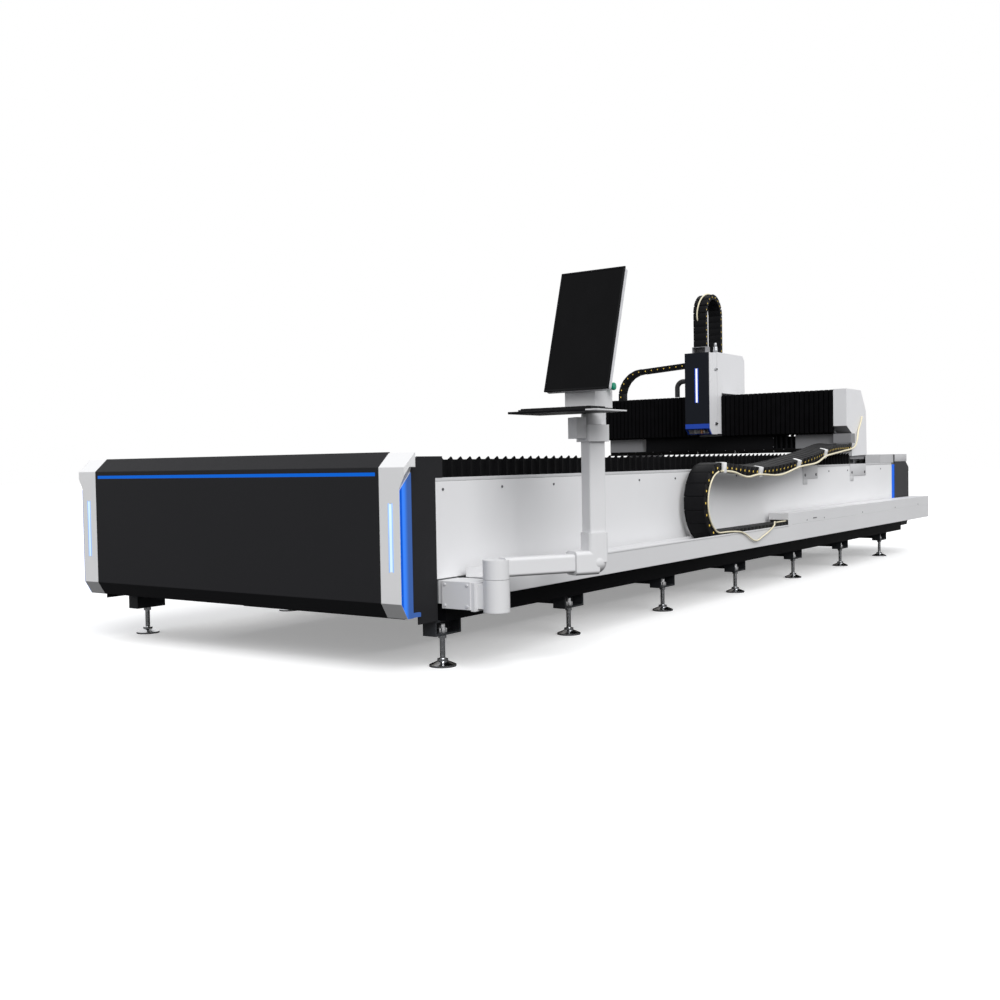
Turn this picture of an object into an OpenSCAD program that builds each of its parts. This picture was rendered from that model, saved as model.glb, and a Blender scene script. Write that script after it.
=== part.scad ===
// Open-bed fiber laser cutting machine with a travelling gantry, a lifting
// cutting head, covered ways, cable chains and a swivelling operator console.
// Millimetres. +X to the right across the bed, +Y along the bed away from the
// near end, +Z up, floor at Z = 0.

/* [Bed] */
// Spacing of the levelling feet along the bed
foot_pitch = 1050; // [1000:10:1100]
// Number of levelling feet on each side
foot_count = 7; // [6:1:8]
// Distance from the near face to the first foot
foot_first = 339; // [325:1:360]
// Distance from the last foot to the far face
foot_tail = 761; // [740:1:790]
// Width over the white side panels
bed_w = 2122; // [2080:2:2180]
// Height of the rail seat above the floor
seat_z = 800; // [785:1:820]
// Underside of the lower tube above the floor
tube_z = 210; // [200:1:222]
// Height of the lower tube
tube_h = 76; // [70:1:80]
// Width of the lower tube
tube_w = 80; // [70:1:86]
// How far the lower tube stands out past the side panel
tube_out = 20; // [14:1:26]
// Wall of the welded frame
frame_wall = 10; // [8:1:12]
// Thickness of the side panels and covers
skin = 6; // [5:0.5:7]

/* [Feet] */
// Diameter of the foot pad
pad_d = 120; // [100:1:130]
// Diameter of the threaded stem
stem_d = 24; // [20:1:28]
// Length of the foot bracket along the bed
bracket_w = 180; // [170:1:190]
// Height of the foot bracket
bracket_h = 68; // [62:1:76]

/* [Near and far covers] */
// Bottom of the flat near face
face_z0 = 310; // [300:1:320]
// Top of the flat near face
face_z1 = 876; // [866:1:886]
// Top of the near cover
cover_z1 = 940; // [932:1:950]
// Bottom of the near cover
cover_z0 = 246; // [236:1:256]
// Run of the top fold of the near cover
fold_top = 72; // [64:1:80]
// Distance of the black near face in from each side of the bed
face_half = 101; // [96:1:106]
// How far the corner trims stand out past the side of the bed
trim_out = 38; // [32:1:42]
// Length of the near cover top
cover_len = 300; // [280:1:320]
// Length of the far cover
far_len = 450; // [420:1:470]
// Width of the light line across the near face
line_h = 15; // [10:1:20]

/* [Ways and bellows] */
// Distance of the guide rails in from the side of the bed
rail_x = 111; // [105:1:121]
// Width of the guide rails
rail_w = 34; // [30:1:38]
// Height of the guide rails
rail_h = 30; // [26:1:33]
// Top of the way bellows above the floor
bellows_z = 920; // [912:1:928]
// Pitch of the bellows folds at rest
fold_pitch = 58; // [54:1:70]
// Depth of the bellows folds
fold_depth = 14; // [10:1:16]
// Thickness of the bellows cloth behind the folds
cloth = 3; // [2:0.5:4]

/* [Slat table] */
// Spacing of the slats
slat_pitch = 100; // [90:5:120]
// Thickness of the slats
slat_t = 4; // [3:0.5:5]
// Tips of the slats above the floor
slat_z = 880; // [870:1:890]
// Height of the slats
slat_h = 140; // [120:1:150]
// Number of teeth on a slat
slat_teeth = 16; // [12:1:18]
// Room on each side of a slat in its slot
slat_clear = 1; // [0.5:0.1:1.5]

/* [Side chain] */
// Gap between the side of the bed and the chain tray
tray_x0 = 34; // [31:1:39]
// Width of the chain tray
tray_w = 140; // [136:1:144]
// Top of the tray floor
tray_z = 392; // [388:1:398]
// Width of the side chain
chain_w = 128; // [118:1:128]
// Thickness of the side chain
chain_t = 58; // [50:1:60]
// Outer radius of the side chain loop
chain_r = 236; // [226:1:240]
// Number of links round the side chain loop
chain_n = 11; // [9:1:13]

/* [Gantry] */
// Distance from the far face back to the gantry front
gantry_back = 1730; // [1700:5:1760]
// How far the gantry beam reaches past the left side of the bed
beam_left = 149; // [139:1:159]
// Right end of the gantry beam in from the side of the bed
beam_right = 123; // [119:1:127]
// Underside of the gantry beam
beam_z0 = 1085; // [1080:1:1090]
// Top of the gantry beam
beam_z1 = 1425; // [1415:1:1430]
// Depth of the gantry beam
beam_d = 210; // [200:1:214]
// Depth of the gantry bellows in front of the beam
front_d = 50; // [46:1:54]
// Width of the right end cover
end_w = 110; // [106:1:116]

/* [Head] */
// Left side of the head
head_x0 = -275; // [-285:1:-265]
// Width of the head
head_w = 220; // [210:1:230]
// Depth of the moving head cover in front of the carriage
head_d = 176; // [170:1:182]
// Top of the moving head cover
head_z1 = 1800; // [1790:1:1812]
// Bottom of the black front of the head
head_z0 = 1190; // [1182:1:1200]
// Diameter of the cutting head body
gun_d = 84; // [70:1:88]
// Outer radius of the lift chain loop
lift_chain_r = 174; // [166:1:178]
// Outer radius of the beam chain loop
beam_chain_r = 250; // [240:1:254]

/* [Console] */
// Swing of the console arm away from the bed
arm_turn = 30; // [24:1:34]
// Length of the console arm between its two uprights
arm_len = 475; // [440:5:510]
// Diameter of the swivel post
post_d = 114; // [104:1:116]
// Side of the upright column
col_w = 80; // [70:1:86]
// Top of the upright column
col_z = 972; // [960:1:985]
// Width of the monitor
mon_w = 320; // [300:1:340]
// Height of the monitor
mon_h = 555; // [520:1:570]
// Lean of the monitor
mon_lean = 17; // [12:1:20]
// Width of the keyboard tray
shelf_w = 440; // [410:1:460]
// Diameter of the start button
button_d = 28; // [24:1:30]

/* [Hidden] */
// Running clearance of pins and guides
clear = 0.5;
// Smoothness of round parts
$fn = 48;

// Plan
hw = bed_w / 2;
bed_len = foot_first + (foot_count - 1) * foot_pitch + foot_tail;
face_x = hw - face_half;
trim_x = face_x + 110;
notch_z = face_z1 - 91;
foot_x = hw - 48;
tube_x1 = hw + tube_out;
tube_x0 = tube_x1 - tube_w;
tube_z1 = tube_z + tube_h;
side_x1 = hw - skin;
side_x0 = side_x1 - 185;
frame_y0 = fold_top;
frame_y1 = bed_len - 350;
panel_y0 = 250;
panel_y1 = bed_len - far_len - 90;
panel_z0 = tray_z;
panel_z1 = seat_z + 11;
far_y0 = bed_len - far_len;

// Ways
rail_cx = hw - rail_x;
track_z = seat_z + 28;
bel_x0 = side_x0 - 6;
bel_x1 = side_x1 - 3;
way_cover_y = far_y0 - 400;

// Gantry
gy = bed_len - gantry_back;
beam_y0 = gy + front_d;
beam_y1 = beam_y0 + beam_d;
gx0 = -hw - beam_left;
gx1 = hw - beam_right;
sad_x0 = side_x0 - 280;
sad_z0 = seat_z + rail_h + 36;
sad_z1 = bellows_z + 42;
sad_y0 = gy + 90;
sad_y1 = gy + 500;

// Head
hx0 = head_x0;
hx1 = head_x0 + head_w;
hxm = head_x0 + head_w / 2;
car_y0 = gy - 68;
lift_y1 = car_y0 - 6;
lift_y0 = lift_y1 - head_d;
body_y1 = gy + 520;
body_z0 = beam_z1 + 35;
body_z1 = head_z1 + 12;
zr_y = car_y0 - 22;
gun_y = lift_y0 + 96;
gun_z = beam_z0 + 115;

// Side chain
tray_in = hw + tray_x0;
loop_y = gy - 2880;
loop_z = tray_z + clear + chain_r;
loop_rc = chain_r - chain_t / 2;
chain_x = tray_in + tray_w / 2;
run_y1 = gy + 60;
run_z1 = bellows_z + 40;
run_x1 = hw - 56;
run_sag = 24;
run_roll = 16;
tray_y0 = 410;
tray_y1 = bed_len + 20;
box_y0 = gy - 1790;
box_z1 = tray_z + 118;
low_len = 3640;

// Beam chain
bc_t = 46;
bc_w = 90;
bc_y = beam_y1 + 65;
bc_rc = beam_chain_r - bc_t / 2;
shelf_z = beam_z0 + 150;
bc_z = shelf_z + 4 + clear + beam_chain_r;
bc_x = gx0 - 18 + beam_chain_r;

// Lift chain
lc_t = 46;
lc_w = 114;
lc_rc = lift_chain_r - lc_t / 2;
lc_y = car_y0 - 90;
lc_z = head_z1 + 346;
foot_top = head_z1 + 55;

// Console
post_x = tray_in + 224;
post_y = 325;
arm_z = 446;
base_z0 = tube_z1 - 18;
base_z1 = tray_z - 6;
axis_x = post_x + arm_len * sin(arm_turn);
axis_y = post_y + arm_len * cos(arm_turn);
ring_z = col_z + 74;
deck_z = ring_z + 66;
tilt_y = axis_y - 62;
tilt_z = deck_z + 110;
mon_drop = 47;
shelf_z1 = deck_z - 11;

// Overall box, for the origin at its bottom centre
box_x0 = gx0 - 90;
box_x1 = axis_x - 20 + shelf_w / 2;
mid_x = (box_x0 + box_x1) / 2;
mid_y = tray_y1 / 2;

// Helpers

module place() {
  translate([-mid_x, -mid_y, 0]) children();
}

// Box between two corners
module bx(x0, x1, y0, y1, z0, z1) {
  translate([x0, y0, z0]) cube([x1 - x0, y1 - y0, z1 - z0]);
}

// Outline in Y and Z drawn out along X
module along_x(x0, x1, pts) {
  translate([x0, 0, 0]) rotate([90, 0, 90]) linear_extrude(height = x1 - x0) polygon(pts);
}

// Outline in X and Z drawn out along Y
module along_y(y0, y1, pts) {
  translate([0, y1, 0]) rotate([90, 0, 0]) linear_extrude(height = y1 - y0) polygon(pts);
}

// Same thing on both sides of the bed
module both() {
  children();
  mirror([1, 0, 0]) children();
}

// Rectangle with round corners about its centre
module soft(w, h, r) {
  square([w - 2 * r, h], center = true);
  square([w, h - 2 * r], center = true);
  for (a = [-1, 1])
    for (b = [-1, 1])
      translate([a * (w / 2 - r), b * (h / 2 - r)]) circle(r = r);
}

// Upright post with round corners
module soft_post(w, d, z0, z1, r) {
  translate([0, 0, z0]) linear_extrude(height = z1 - z0) soft(w, d, r);
}

// Local frame of the console arm, with its length along Y
module on_arm() {
  translate([post_x, post_y, 0]) rotate([0, 0, -arm_turn]) children();
}

// Local frame of the console top, on the column axis
module on_top() {
  translate([axis_x, axis_y, 0]) children();
}

// Folded roof over a guide way, folds along Y
module way_bellows(x0, x1, y0, y1, z0, z1) {
  n = max(3, round((y1 - y0) / fold_pitch));
  p = (y1 - y0) / n / 2;
  west = [for (i = [0:2 * n]) [x0 + (i % 2 == 0 ? fold_depth : 0), y0 + (i - i % 2 * 0.5) * p]];
  east = [for (i = [2 * n:-1:0]) [x1 - (i % 2 == 0 ? fold_depth : 0), y0 + (i - i % 2 * 0.5) * p]];
  crest = [for (i = [2 * n:-1:0]) [y0 + (i - i % 2 * 0.5) * p, z1 - (i % 2 == 0 ? fold_depth : 0)]];
  inset = fold_depth + cloth;
  fall = 20;
  difference() {
    intersection() {
      translate([0, 0, z0]) linear_extrude(height = z1 - z0) polygon(concat(west, east));
      along_x(x0, x1, concat([[y0, z0], [y1, z0]], crest));
      along_y(y0, y1, [[x0, z0], [x1, z0], [x1, z1], [x0, z1 - fall]]);
    }
    bx(x0 + inset, x1 - inset, y0 - 1, y1 + 1, z0 - 1, z1 - inset - fall);
  }
}

// Folded cover on the front of the beam, folds along X
module beam_bellows(x0, x1) {
  y0 = gy;
  y1 = beam_y0;
  z0 = beam_z0 - 5;
  z1 = beam_z1 + 17;
  n = max(3, round((x1 - x0) / fold_pitch * 1.4));
  p = (x1 - x0) / n / 2;
  front = [for (i = [0:2 * n]) [x0 + i * p, y0 + (i % 2 == 0 ? fold_depth : 0)]];
  low = [for (i = [0:2 * n]) [x0 + i * p, z0 + (i % 2 == 0 ? fold_depth / 2 : 0)]];
  high = [for (i = [2 * n:-1:0]) [x0 + i * p, z1 - (i % 2 == 0 ? fold_depth / 2 : 0)]];
  inset = fold_depth + cloth;
  difference() {
    intersection() {
      translate([0, 0, z0]) linear_extrude(height = z1 - z0)
        polygon(concat(front, [[x1, y1], [x0, y1]]));
      along_y(y0, y1, concat(low, high));
    }
    bx(x0 - 1, x1 + 1, y0 + inset, y1 + 1, z0 + inset, beam_z1);
  }
}

// One chain link about its centre, length along Y; the neck between the side plates may be set in further
module link(len, w, t, neck = 12) {
  cube([w, len * 0.76, t], center = true);
  cube([w - neck, len * 1.16, t - 16], center = true);
}

// Half ring of links about the X axis, open towards +Y
module link_ring(n, rc, w, t) {
  step = 180 / n;
  for (i = [0:n - 1]) {
    a = 90 + (i + 0.5) * step;
    translate([0, rc * cos(a), rc * sin(a)]) rotate([a - 90, 0, 0])
      link(rc * PI / n, w, t - 4, i % 2 == 0 ? 14 : 16);
  }
}

// Straight row of links along Y from the origin
module link_row(len, pitch, w, t) {
  n = max(1, round(len / pitch));
  p = len / n;
  for (i = [0:n - 1])
    translate([0, (i + 0.5) * p, 0]) link(p / (i == 0 || i == n - 1 ? 1.16 : 1), w, t);
}

// Smooth curve through hand-set points
function blend4(a, b, c, d, t) = 0.5 * (2 * b + (c - a) * t + (2 * a - 5 * b + 4 * c - d) * t * t
  + (3 * b - a - 3 * c + d) * t * t * t);
function curve(q, k) = concat([for (i = [0:len(q) - 2]) for (j = [0:k - 1])
  blend4(q[max(i - 1, 0)], q[i], q[i + 1], q[min(i + 2, len(q) - 1)], j / k)], [q[len(q) - 1]]);
function unit(v) = v / norm(v);
function tangent(c, i) = unit(c[min(i + 1, len(c) - 1)] - c[max(i - 1, 0)]);
function side(t) = unit(cross(t, abs(t[0]) < 0.8 ? [1, 0, 0] : [0, 1, 0]));
function ring(c, i, r, n) = let (t = tangent(c, i), a = side(t), b = cross(t, a))
  [for (k = [0:n - 1]) c[i] + r * (cos(360 * k / n) * a + sin(360 * k / n) * b)];

// Round hose along a curve
module hose(q, r, k, n) {
  c = curve(q, k);
  m = len(c);
  pts = [for (i = [0:m - 1]) each ring(c, i, r, n)];
  walls = [for (i = [0:m - 2]) for (j = [0:n - 1])
    [i * n + j, i * n + (j + 1) % n, (i + 1) * n + (j + 1) % n, (i + 1) * n + j]];
  ends = [[for (j = [n - 1:-1:0]) j], [for (j = [0:n - 1]) (m - 1) * n + j]];
  mirror_fix = [for (f = concat(walls, ends)) [for (j = [len(f) - 1:-1:0]) f[j]]];
  polyhedron(points = pts, faces = mirror_fix, convexity = 6);
}

// Bed

module bed_frame() color([0.16, 0.17, 0.18]) place() {
  inner = side_x0 + frame_wall;
  outer = side_x1 - frame_wall;
  difference() {
    union() {
      both() bx(side_x0, side_x1, frame_y0, frame_y1, tube_z1, seat_z);
      for (i = [0:foot_count - 1])
        bx(-side_x0 - 1, side_x0 + 1, foot_y(i) - 50, foot_y(i) + 50, tube_z1 + 14, tube_z1 + 114);
      bx(-side_x0 - 1, side_x0 + 1, frame_y0, frame_y0 + frame_wall, tube_z1, seat_z);
      bx(-side_x0 - 1, side_x0 + 1, frame_y1 - frame_wall, frame_y1, tube_z1, seat_z);
      both() bx(side_x1 - 15, side_x1, cover_len, way_cover_y + 400, seat_z, track_z);
      both() bx(side_x0, side_x0 + 10, cover_len, way_cover_y + 400, seat_z, track_z);
    }
    both() bx(inner, outer, frame_y0 - 1, frame_y1 + 1, tube_z1 + frame_wall, seat_z - frame_wall);
    for (i = [0:foot_count - 1])
      bx(-side_x0 + 30, side_x0 - 30, foot_y(i) - 42, foot_y(i) + 42, tube_z1 + 22, tube_z1 + 106);
  }
}

function foot_y(i) = foot_first + i * foot_pitch;

module lower_tubes() color([0.05, 0.05, 0.06]) place() {
  y0 = foot_first - 59;
  both() difference() {
    bx(tube_x0, tube_x1, y0, frame_y1 + 20, tube_z, tube_z1);
    bx(tube_x0 + 6, tube_x1 - 6, y0 + 6, frame_y1 + 40, tube_z + 6, tube_z1 - 6);
  }
}

module foot_brackets() color([0.25, 0.27, 0.29]) place() {
  z0 = tube_z - bracket_h;
  half = bracket_w / 2;
  both() for (i = [0:foot_count - 1]) difference() {
    union() {
      bx(foot_x - 36, foot_x + 36, foot_y(i) - half, foot_y(i) + half, z0, tube_z);
      if (i > 0) bx(foot_x - 260, foot_x - 30, foot_y(i) - 40, foot_y(i) + 40, tube_z - 52, tube_z);
    }
    bx(foot_x - 28, foot_x + 40, foot_y(i) - half + 7, foot_y(i) + half - 7, z0 + 8, tube_z - 8);
    translate([foot_x, foot_y(i), z0 - 1]) cylinder(d = stem_d + 2, h = 10);
  }
}

module feet() color([0.55, 0.56, 0.58]) place() {
  z0 = tube_z - bracket_h;
  both() for (i = [0:foot_count - 1]) translate([foot_x, foot_y(i), 0]) {
    rotate_extrude() polygon([[0, 0], [pad_d / 2, 0], [pad_d / 2, 9], [stem_d, 24], [stem_d, 34],
      [stem_d / 2, 36], [0, 36]]);
    cylinder(d = stem_d, h = z0 + 44);
    translate([0, 0, z0 - 18]) cylinder(d = stem_d * 1.6, h = 18, $fn = 6);
    translate([0, 0, z0 + 8]) cylinder(d = stem_d * 1.6, h = 18, $fn = 6);
  }
}

module side_panels() color([0.9, 0.9, 0.91]) place() {
  both() bx(side_x1, hw, panel_y0, panel_y1, panel_z0, panel_z1);
}

module panel_screws() color([0.6, 0.61, 0.63]) place() {
  n = floor((panel_y1 - panel_y0 - 100) / 445);
  both() for (i = [0:n])
    translate([hw, panel_y0 + 50 + i * 445, panel_z1 - 34]) rotate([0, 90, 0]) cylinder(d = 12, h = 3);
}

// Fold line of the near end seen from the side
function near_line() = [[fold_top, cover_z1], [0, face_z1], [0, face_z0], [39, cover_z0]];

module near_cover() color([0.03, 0.03, 0.035]) place() {
  z1 = cover_z1;
  z0 = cover_z0;
  z2 = bellows_z - 2;
  outer = concat([[cover_len, z2], [fold_top + 24, z2]], near_line(), [[fold_top + 30, z0]]);
  inner = [[fold_top + 30, z0 + 4], [41, z0 + 4], [4, face_z0 + 1], [4, face_z1 - 2],
    [fold_top - 1, z1 - 6], [fold_top + 22, z2 - 4], [cover_len, z2 - 4]];
  line_z = face_z1 - 28;
  difference() {
    along_x(-face_x, face_x, concat(outer, inner));
    bx(-face_x + 20, face_x - 20, -1, 5, line_z - line_h / 2, line_z + line_h / 2);
  }
}

// Room of the lit recess in a corner trim, with its top rising outwards and backwards
module trim_recess() {
  rise = 57 / (hw + trim_out - trim_x);
  back = 77 / fold_top;
  difference() {
    bx(trim_x, hw + trim_out + 1, -1, fold_top + 1, cover_z0 - 1, face_z1);
    translate([trim_x, 0, notch_z]) rotate([asin(back / norm([rise, back, 1])), -atan(rise), 0])
      translate([-300, -300, 0]) cube([600, 600, 400]);
  }
}

module near_trims() color([0.88, 0.89, 0.9]) place() {
  top = cover_z1 - 4;
  pts = [[fold_top, top], [fold_top - 4, top], [0, face_z1], [0, face_z0], [39, cover_z0],
    [fold_top, cover_z0]];
  both() difference() {
    along_x(face_x, hw + trim_out, pts);
    trim_recess();
    bx(face_x + 50, face_x + 70, -1, 5, face_z0 + 134, face_z1 - 151);
  }
}

module near_cheeks() color([0.03, 0.03, 0.035]) place() {
  y1 = cover_len;
  both() along_x(side_x1, hw, [[fold_top, cover_z0 + 20], [fold_top, face_z1 - 15],
    [fold_top + 58, bellows_z], [y1, bellows_z], [y1, panel_z1 + 17], [panel_y0, panel_z1 + 17],
    [panel_y0, tube_z + 2], [fold_top + 49, tube_z + 2], [fold_top + 49, cover_z0 + 20]]);
}

module glow_strips() color([0.05, 0.25, 1]) place() {
  line_z = face_z1 - 28;
  bx(-face_x + 20, face_x - 20, 0, 4, line_z - line_h / 2, line_z + line_h / 2);
  both() along_x(trim_x, trim_x + 4, [[1, face_z0 + 1], [1, notch_z - 4], [fold_top, notch_z + 68],
    [fold_top, cover_z0 + 0.5], [39.5, cover_z0 + 0.5]]);
  both() bx(side_x1, trim_x + 4, fold_top, fold_top + 48.5, cover_z0 + 2, cover_z0 + 19.5);
  both() bx(side_x1, hw - 2, panel_y1, far_y0, panel_z0, panel_z1);
}

module light_bars() color([0.85, 0.92, 1]) place() {
  both() bx(face_x + 50, face_x + 70, 0, 5, face_z0 + 134, face_z1 - 151);
}

module far_cover() color([0.22, 0.23, 0.25]) place() {
  y0 = far_y0;
  y1 = bed_len;
  z1 = bellows_z - 20;
  outer = [[y0, tube_z1 - 40], [y0, z1], [y1 - 200, z1], [y1, panel_z1 - 30], [y1, tube_z1 + 50],
    [y1 - 70, tube_z1 - 40]];
  inner = [[y0 - 1, tube_z1 - 41], [y0 - 1, z1 - skin], [y1 - 202, z1 - skin],
    [y1 - skin, panel_z1 - 34], [y1 - skin, tube_z1 + 52], [y1 - 71, tube_z1 - 34],
    [y1 - 90, tube_z1 - 34], [y1 - 90, tube_z1 - 41]];
  difference() {
    along_x(-hw, hw, outer);
    along_x(-side_x1, side_x1, inner);
    both() bx(tube_x0 - 1, tube_x1 + 1, y0 - 1, frame_y1 + 21, tube_z1 - 45, tube_z1);
    both() bx(bel_x0 - 1, bel_x1 + 1, y0 - 1, y0 + 1, seat_z, z1 - skin);
  }
}

module way_covers() color([0.62, 0.64, 0.66]) place() {
  z1 = bellows_z - 20;
  both() difference() {
    bx(bel_x0, bel_x1, way_cover_y, far_y0, track_z, z1);
    bx(bel_x0 + 4, bel_x1 - 4, way_cover_y - 1, far_y0 + 1, track_z - 1, z1 - 4);
  }
}

module bed_rails() color([0.7, 0.71, 0.73]) place() {
  both() bx(rail_cx - rail_w / 2, rail_cx + rail_w / 2, cover_len + 20, frame_y1 - 30, seat_z,
    seat_z + rail_h);
  both() bx(side_x0 + 14, side_x0 + 36, cover_len + 20, frame_y1 - 30, seat_z, seat_z + rail_h);
}

// Slat table

slat_y0 = 420;
slat_n = floor((far_y0 - 60 - slat_y0) / slat_pitch);
slat_half = side_x0 - 12;

module slats() color([0.42, 0.4, 0.38]) place() {
  z0 = slat_z - slat_h;
  step = 2 * slat_half / slat_teeth;
  teeth = [for (i = [slat_teeth - 1:-1:0]) each [[-slat_half + (i + 0.75) * step, slat_z],
    [-slat_half + (i + 0.15) * step, slat_z - 28]]];
  pts = concat([[-slat_half, z0], [slat_half, z0], [slat_half, slat_z - 28]], teeth);
  for (i = [0:slat_n])
    along_y(slat_y0 + i * slat_pitch - slat_t / 2, slat_y0 + i * slat_pitch + slat_t / 2, pts);
}

module slat_combs() color([0.3, 0.31, 0.32]) place() {
  z0 = slat_z - slat_h;
  g = slat_t / 2 + slat_clear;
  both() difference() {
    bx(side_x0 - 40, side_x0, slat_y0 - 60, slat_y0 + slat_n * slat_pitch + 60, z0 - 20, z0 + 50);
    for (i = [0:slat_n])
      bx(side_x0 - 41, slat_half + slat_clear, slat_y0 + i * slat_pitch - g,
        slat_y0 + i * slat_pitch + g, z0, z0 + 51);
  }
}

module scrap_trays() color([0.2, 0.2, 0.21]) place() {
  z1 = tube_z1 + 14;
  n = floor((foot_count - 1) / 2);
  half = side_x0 - 310;
  for (i = [0:n - 1]) {
    a = foot_y(2 * i) + 20;
    b = foot_y(2 * i + 2) - 20;
    difference() {
      along_x(-half, half, [[a, z1], [b, z1], [b - 260, 140], [a + 260, 140]]);
      along_x(4 - half, half - 4, [[a + 7, z1 + 1], [b - 7, z1 + 1], [b - 262, 144], [a + 262, 144]]);
    }
  }
}

module front_bellows() color([0.04, 0.04, 0.045]) place() {
  both() way_bellows(bel_x0, bel_x1, cover_len, sad_y0, track_z, bellows_z);
}

module rear_bellows() color([0.04, 0.04, 0.045]) place() {
  both() way_bellows(bel_x0, bel_x1, sad_y1, way_cover_y, track_z, bellows_z - 22);
}

// Side chain

module chain_tray() color([0.86, 0.87, 0.88]) place() {
  x1 = tray_in + tray_w;
  bx(tray_in, x1, tray_y0, tray_y1, tray_z - 4, tray_z);
  bx(tray_in, tray_in + 3, tray_y0, tray_y1, tray_z - 4, tray_z + 36);
  bx(x1 - 3, x1, tray_y0, tray_y1, tray_z - 75, tray_z + 36);
  n = floor((tray_y1 - tray_y0 - 200) / 700);
  for (i = [0:n])
    bx(side_x1, x1 - 3, tray_y0 + 80 + i * 700, tray_y0 + 120 + i * 700, tray_z - 40, tray_z - 4);
}

module tray_lid() color([0.88, 0.88, 0.89]) place() {
  x1 = tray_in + tray_w;
  z0 = tray_z + 36;
  difference() {
    bx(tray_in, x1, box_y0, tray_y1, z0, box_z1);
    bx(tray_in + 3, x1 - 3, box_y0 + 3, tray_y1 - 3, z0 - 1, box_z1 - 3);
    bx(tray_in + 3, x1 - 3, box_y0 - 1, box_y0 + 4, z0 - 1, tray_z + chain_t + 14);
  }
}

module side_chain_loop() color([0.05, 0.05, 0.05]) place() {
  translate([chain_x, loop_y, loop_z]) link_ring(chain_n, loop_rc, chain_w, chain_t);
  translate([chain_x, loop_y - 4, loop_z - loop_rc]) link_row(low_len, 60, chain_w, chain_t);
}

// Eased step from 0 to 1
function ease(t) = let (u = min(1, max(0, t))) u * u * (3 - 2 * u);

// Course of the upper run of the side chain, t from the loop to the gantry
function run_y(t) = loop_y + t * (run_y1 - loop_y);
function run_z(t) = loop_z + loop_rc - run_sag * ease(t / 0.2)
  + (run_z1 + run_sag - loop_z - loop_rc) * ease((t - 0.2) / 0.65);
function run_x(t) = chain_x + (run_x1 - chain_x) * ease((t - 0.5) / 0.5);
function run_tip(t) = run_roll * sin(180 * t);

module side_chain_run() color([0.05, 0.05, 0.05]) place() {
  n = 44;
  y0 = loop_y + 8;
  p = (run_y1 - y0) / n;
  for (i = [0:n - 1]) {
    t = (i + 0.5) / n;
    slope = (run_z(t + 0.5 / n) - run_z(t - 0.5 / n)) / p;
    drift = (run_x(t + 0.5 / n) - run_x(t - 0.5 / n)) / p;
    translate([run_x(t), y0 + t * (run_y1 - y0), run_z(t)]) rotate([0, 0, -atan(drift)])
      rotate([atan(slope), 0, 0]) rotate([0, run_tip(t), 0])
        link(p / (i == 0 || i == n - 1 ? 1.16 : 1), chain_w, chain_t);
  }
}

// Point of the hose beside the upper run, dropped below its side
function hose_at(t, drop) = [run_x(t) + chain_w / 2 + 10, run_y(t),
  run_z(t) - chain_w / 2 * sin(run_tip(t)) - drop];
hose_ri = chain_r - chain_t + 8;
end_x1 = gx1 + end_w;

module side_hose_run() color([0.86, 0.82, 0.68]) place() {
  hose([[chain_x + chain_w / 2 + 9, loop_y, loop_z + hose_ri], hose_at(0.06, 22), hose_at(0.13, 40),
    hose_at(0.2, 18), hose_at(0.32, 36), hose_at(0.44, 18), hose_at(0.56, 34), hose_at(0.66, 20),
    hose_at(0.78, 30), hose_at(0.9, 22), [run_x1 + chain_w / 2 + 12, gy + 70, run_z1],
    [hw + 20, gy + 160, run_z1 + 60], [end_x1 + 15, gy + 250, run_z1 + 140],
    [end_x1 + 10, gy + 325, run_z1 + 205], [end_x1 + 7.3, gy + 375, run_z1 + 262]], 7, 5, 8);
}

module side_hose_tail() color([0.86, 0.82, 0.68]) place() {
  x = chain_x + chain_w / 2 + 6;
  z = tray_z + chain_t + 6;
  turn = [for (a = [100:20:260]) [x, loop_y + hose_ri * cos(a), loop_z + hose_ri * sin(a)]];
  hose(concat(turn, [[x + 2, loop_y + 120, z - 14], [x + 8, loop_y + 300, z - 30],
    [x + 13, loop_y + 486, z - 92], [x + 11, loop_y + 660, z - 62], [x + 2, loop_y + 810, z - 2],
    [x - 16, loop_y + 940, z + 3], [x - 24, loop_y + 1100, z],
    [x - 24, loop_y + low_len - 200, z]]), 5, 4, 8);
}

// Console base

module console_box() color([0.84, 0.85, 0.86]) place() {
  x0 = tube_x1;
  x1 = post_x - 87;
  bx(x0, x1, post_y - 70, post_y + 80, base_z0, base_z1);
  bx(side_x1, x0 + 1, post_y - 60, post_y + 70, tube_z1, base_z1);
  bx(x1, x1 + 20, post_y - 66, post_y + 74, base_z0 - 6, base_z1 - 2);
  for (a = [-54, 64])
    for (z = [base_z0 + 14, base_z1 - 14])
      translate([x0 + (a < 0 ? 16 : x1 - x0 - 16), post_y - 70, z]) rotate([90, 0, 0])
        cylinder(d = 12, h = 3);
}

module console_post() color([0.88, 0.89, 0.9]) place() {
  difference() {
    union() {
      translate([post_x, post_y, 258]) cylinder(d = post_d, h = 138);
      bx(post_x - 67, post_x, post_y - 44, post_y + 44, 272, 376);
    }
    translate([post_x, post_y, 340]) cylinder(d = 44 + 2 * clear, h = 80);
  }
}

// Gantry

module gantry_beam() color([0.5, 0.52, 0.54]) place() {
  difference() {
    bx(gx0, gx1, beam_y0, beam_y1, beam_z0, beam_z1);
    bx(gx0 - 1, gx1 + 1, beam_y0 + 12, beam_y1 - 12, beam_z0 + 12, beam_z1 - 12);
  }
}

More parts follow.
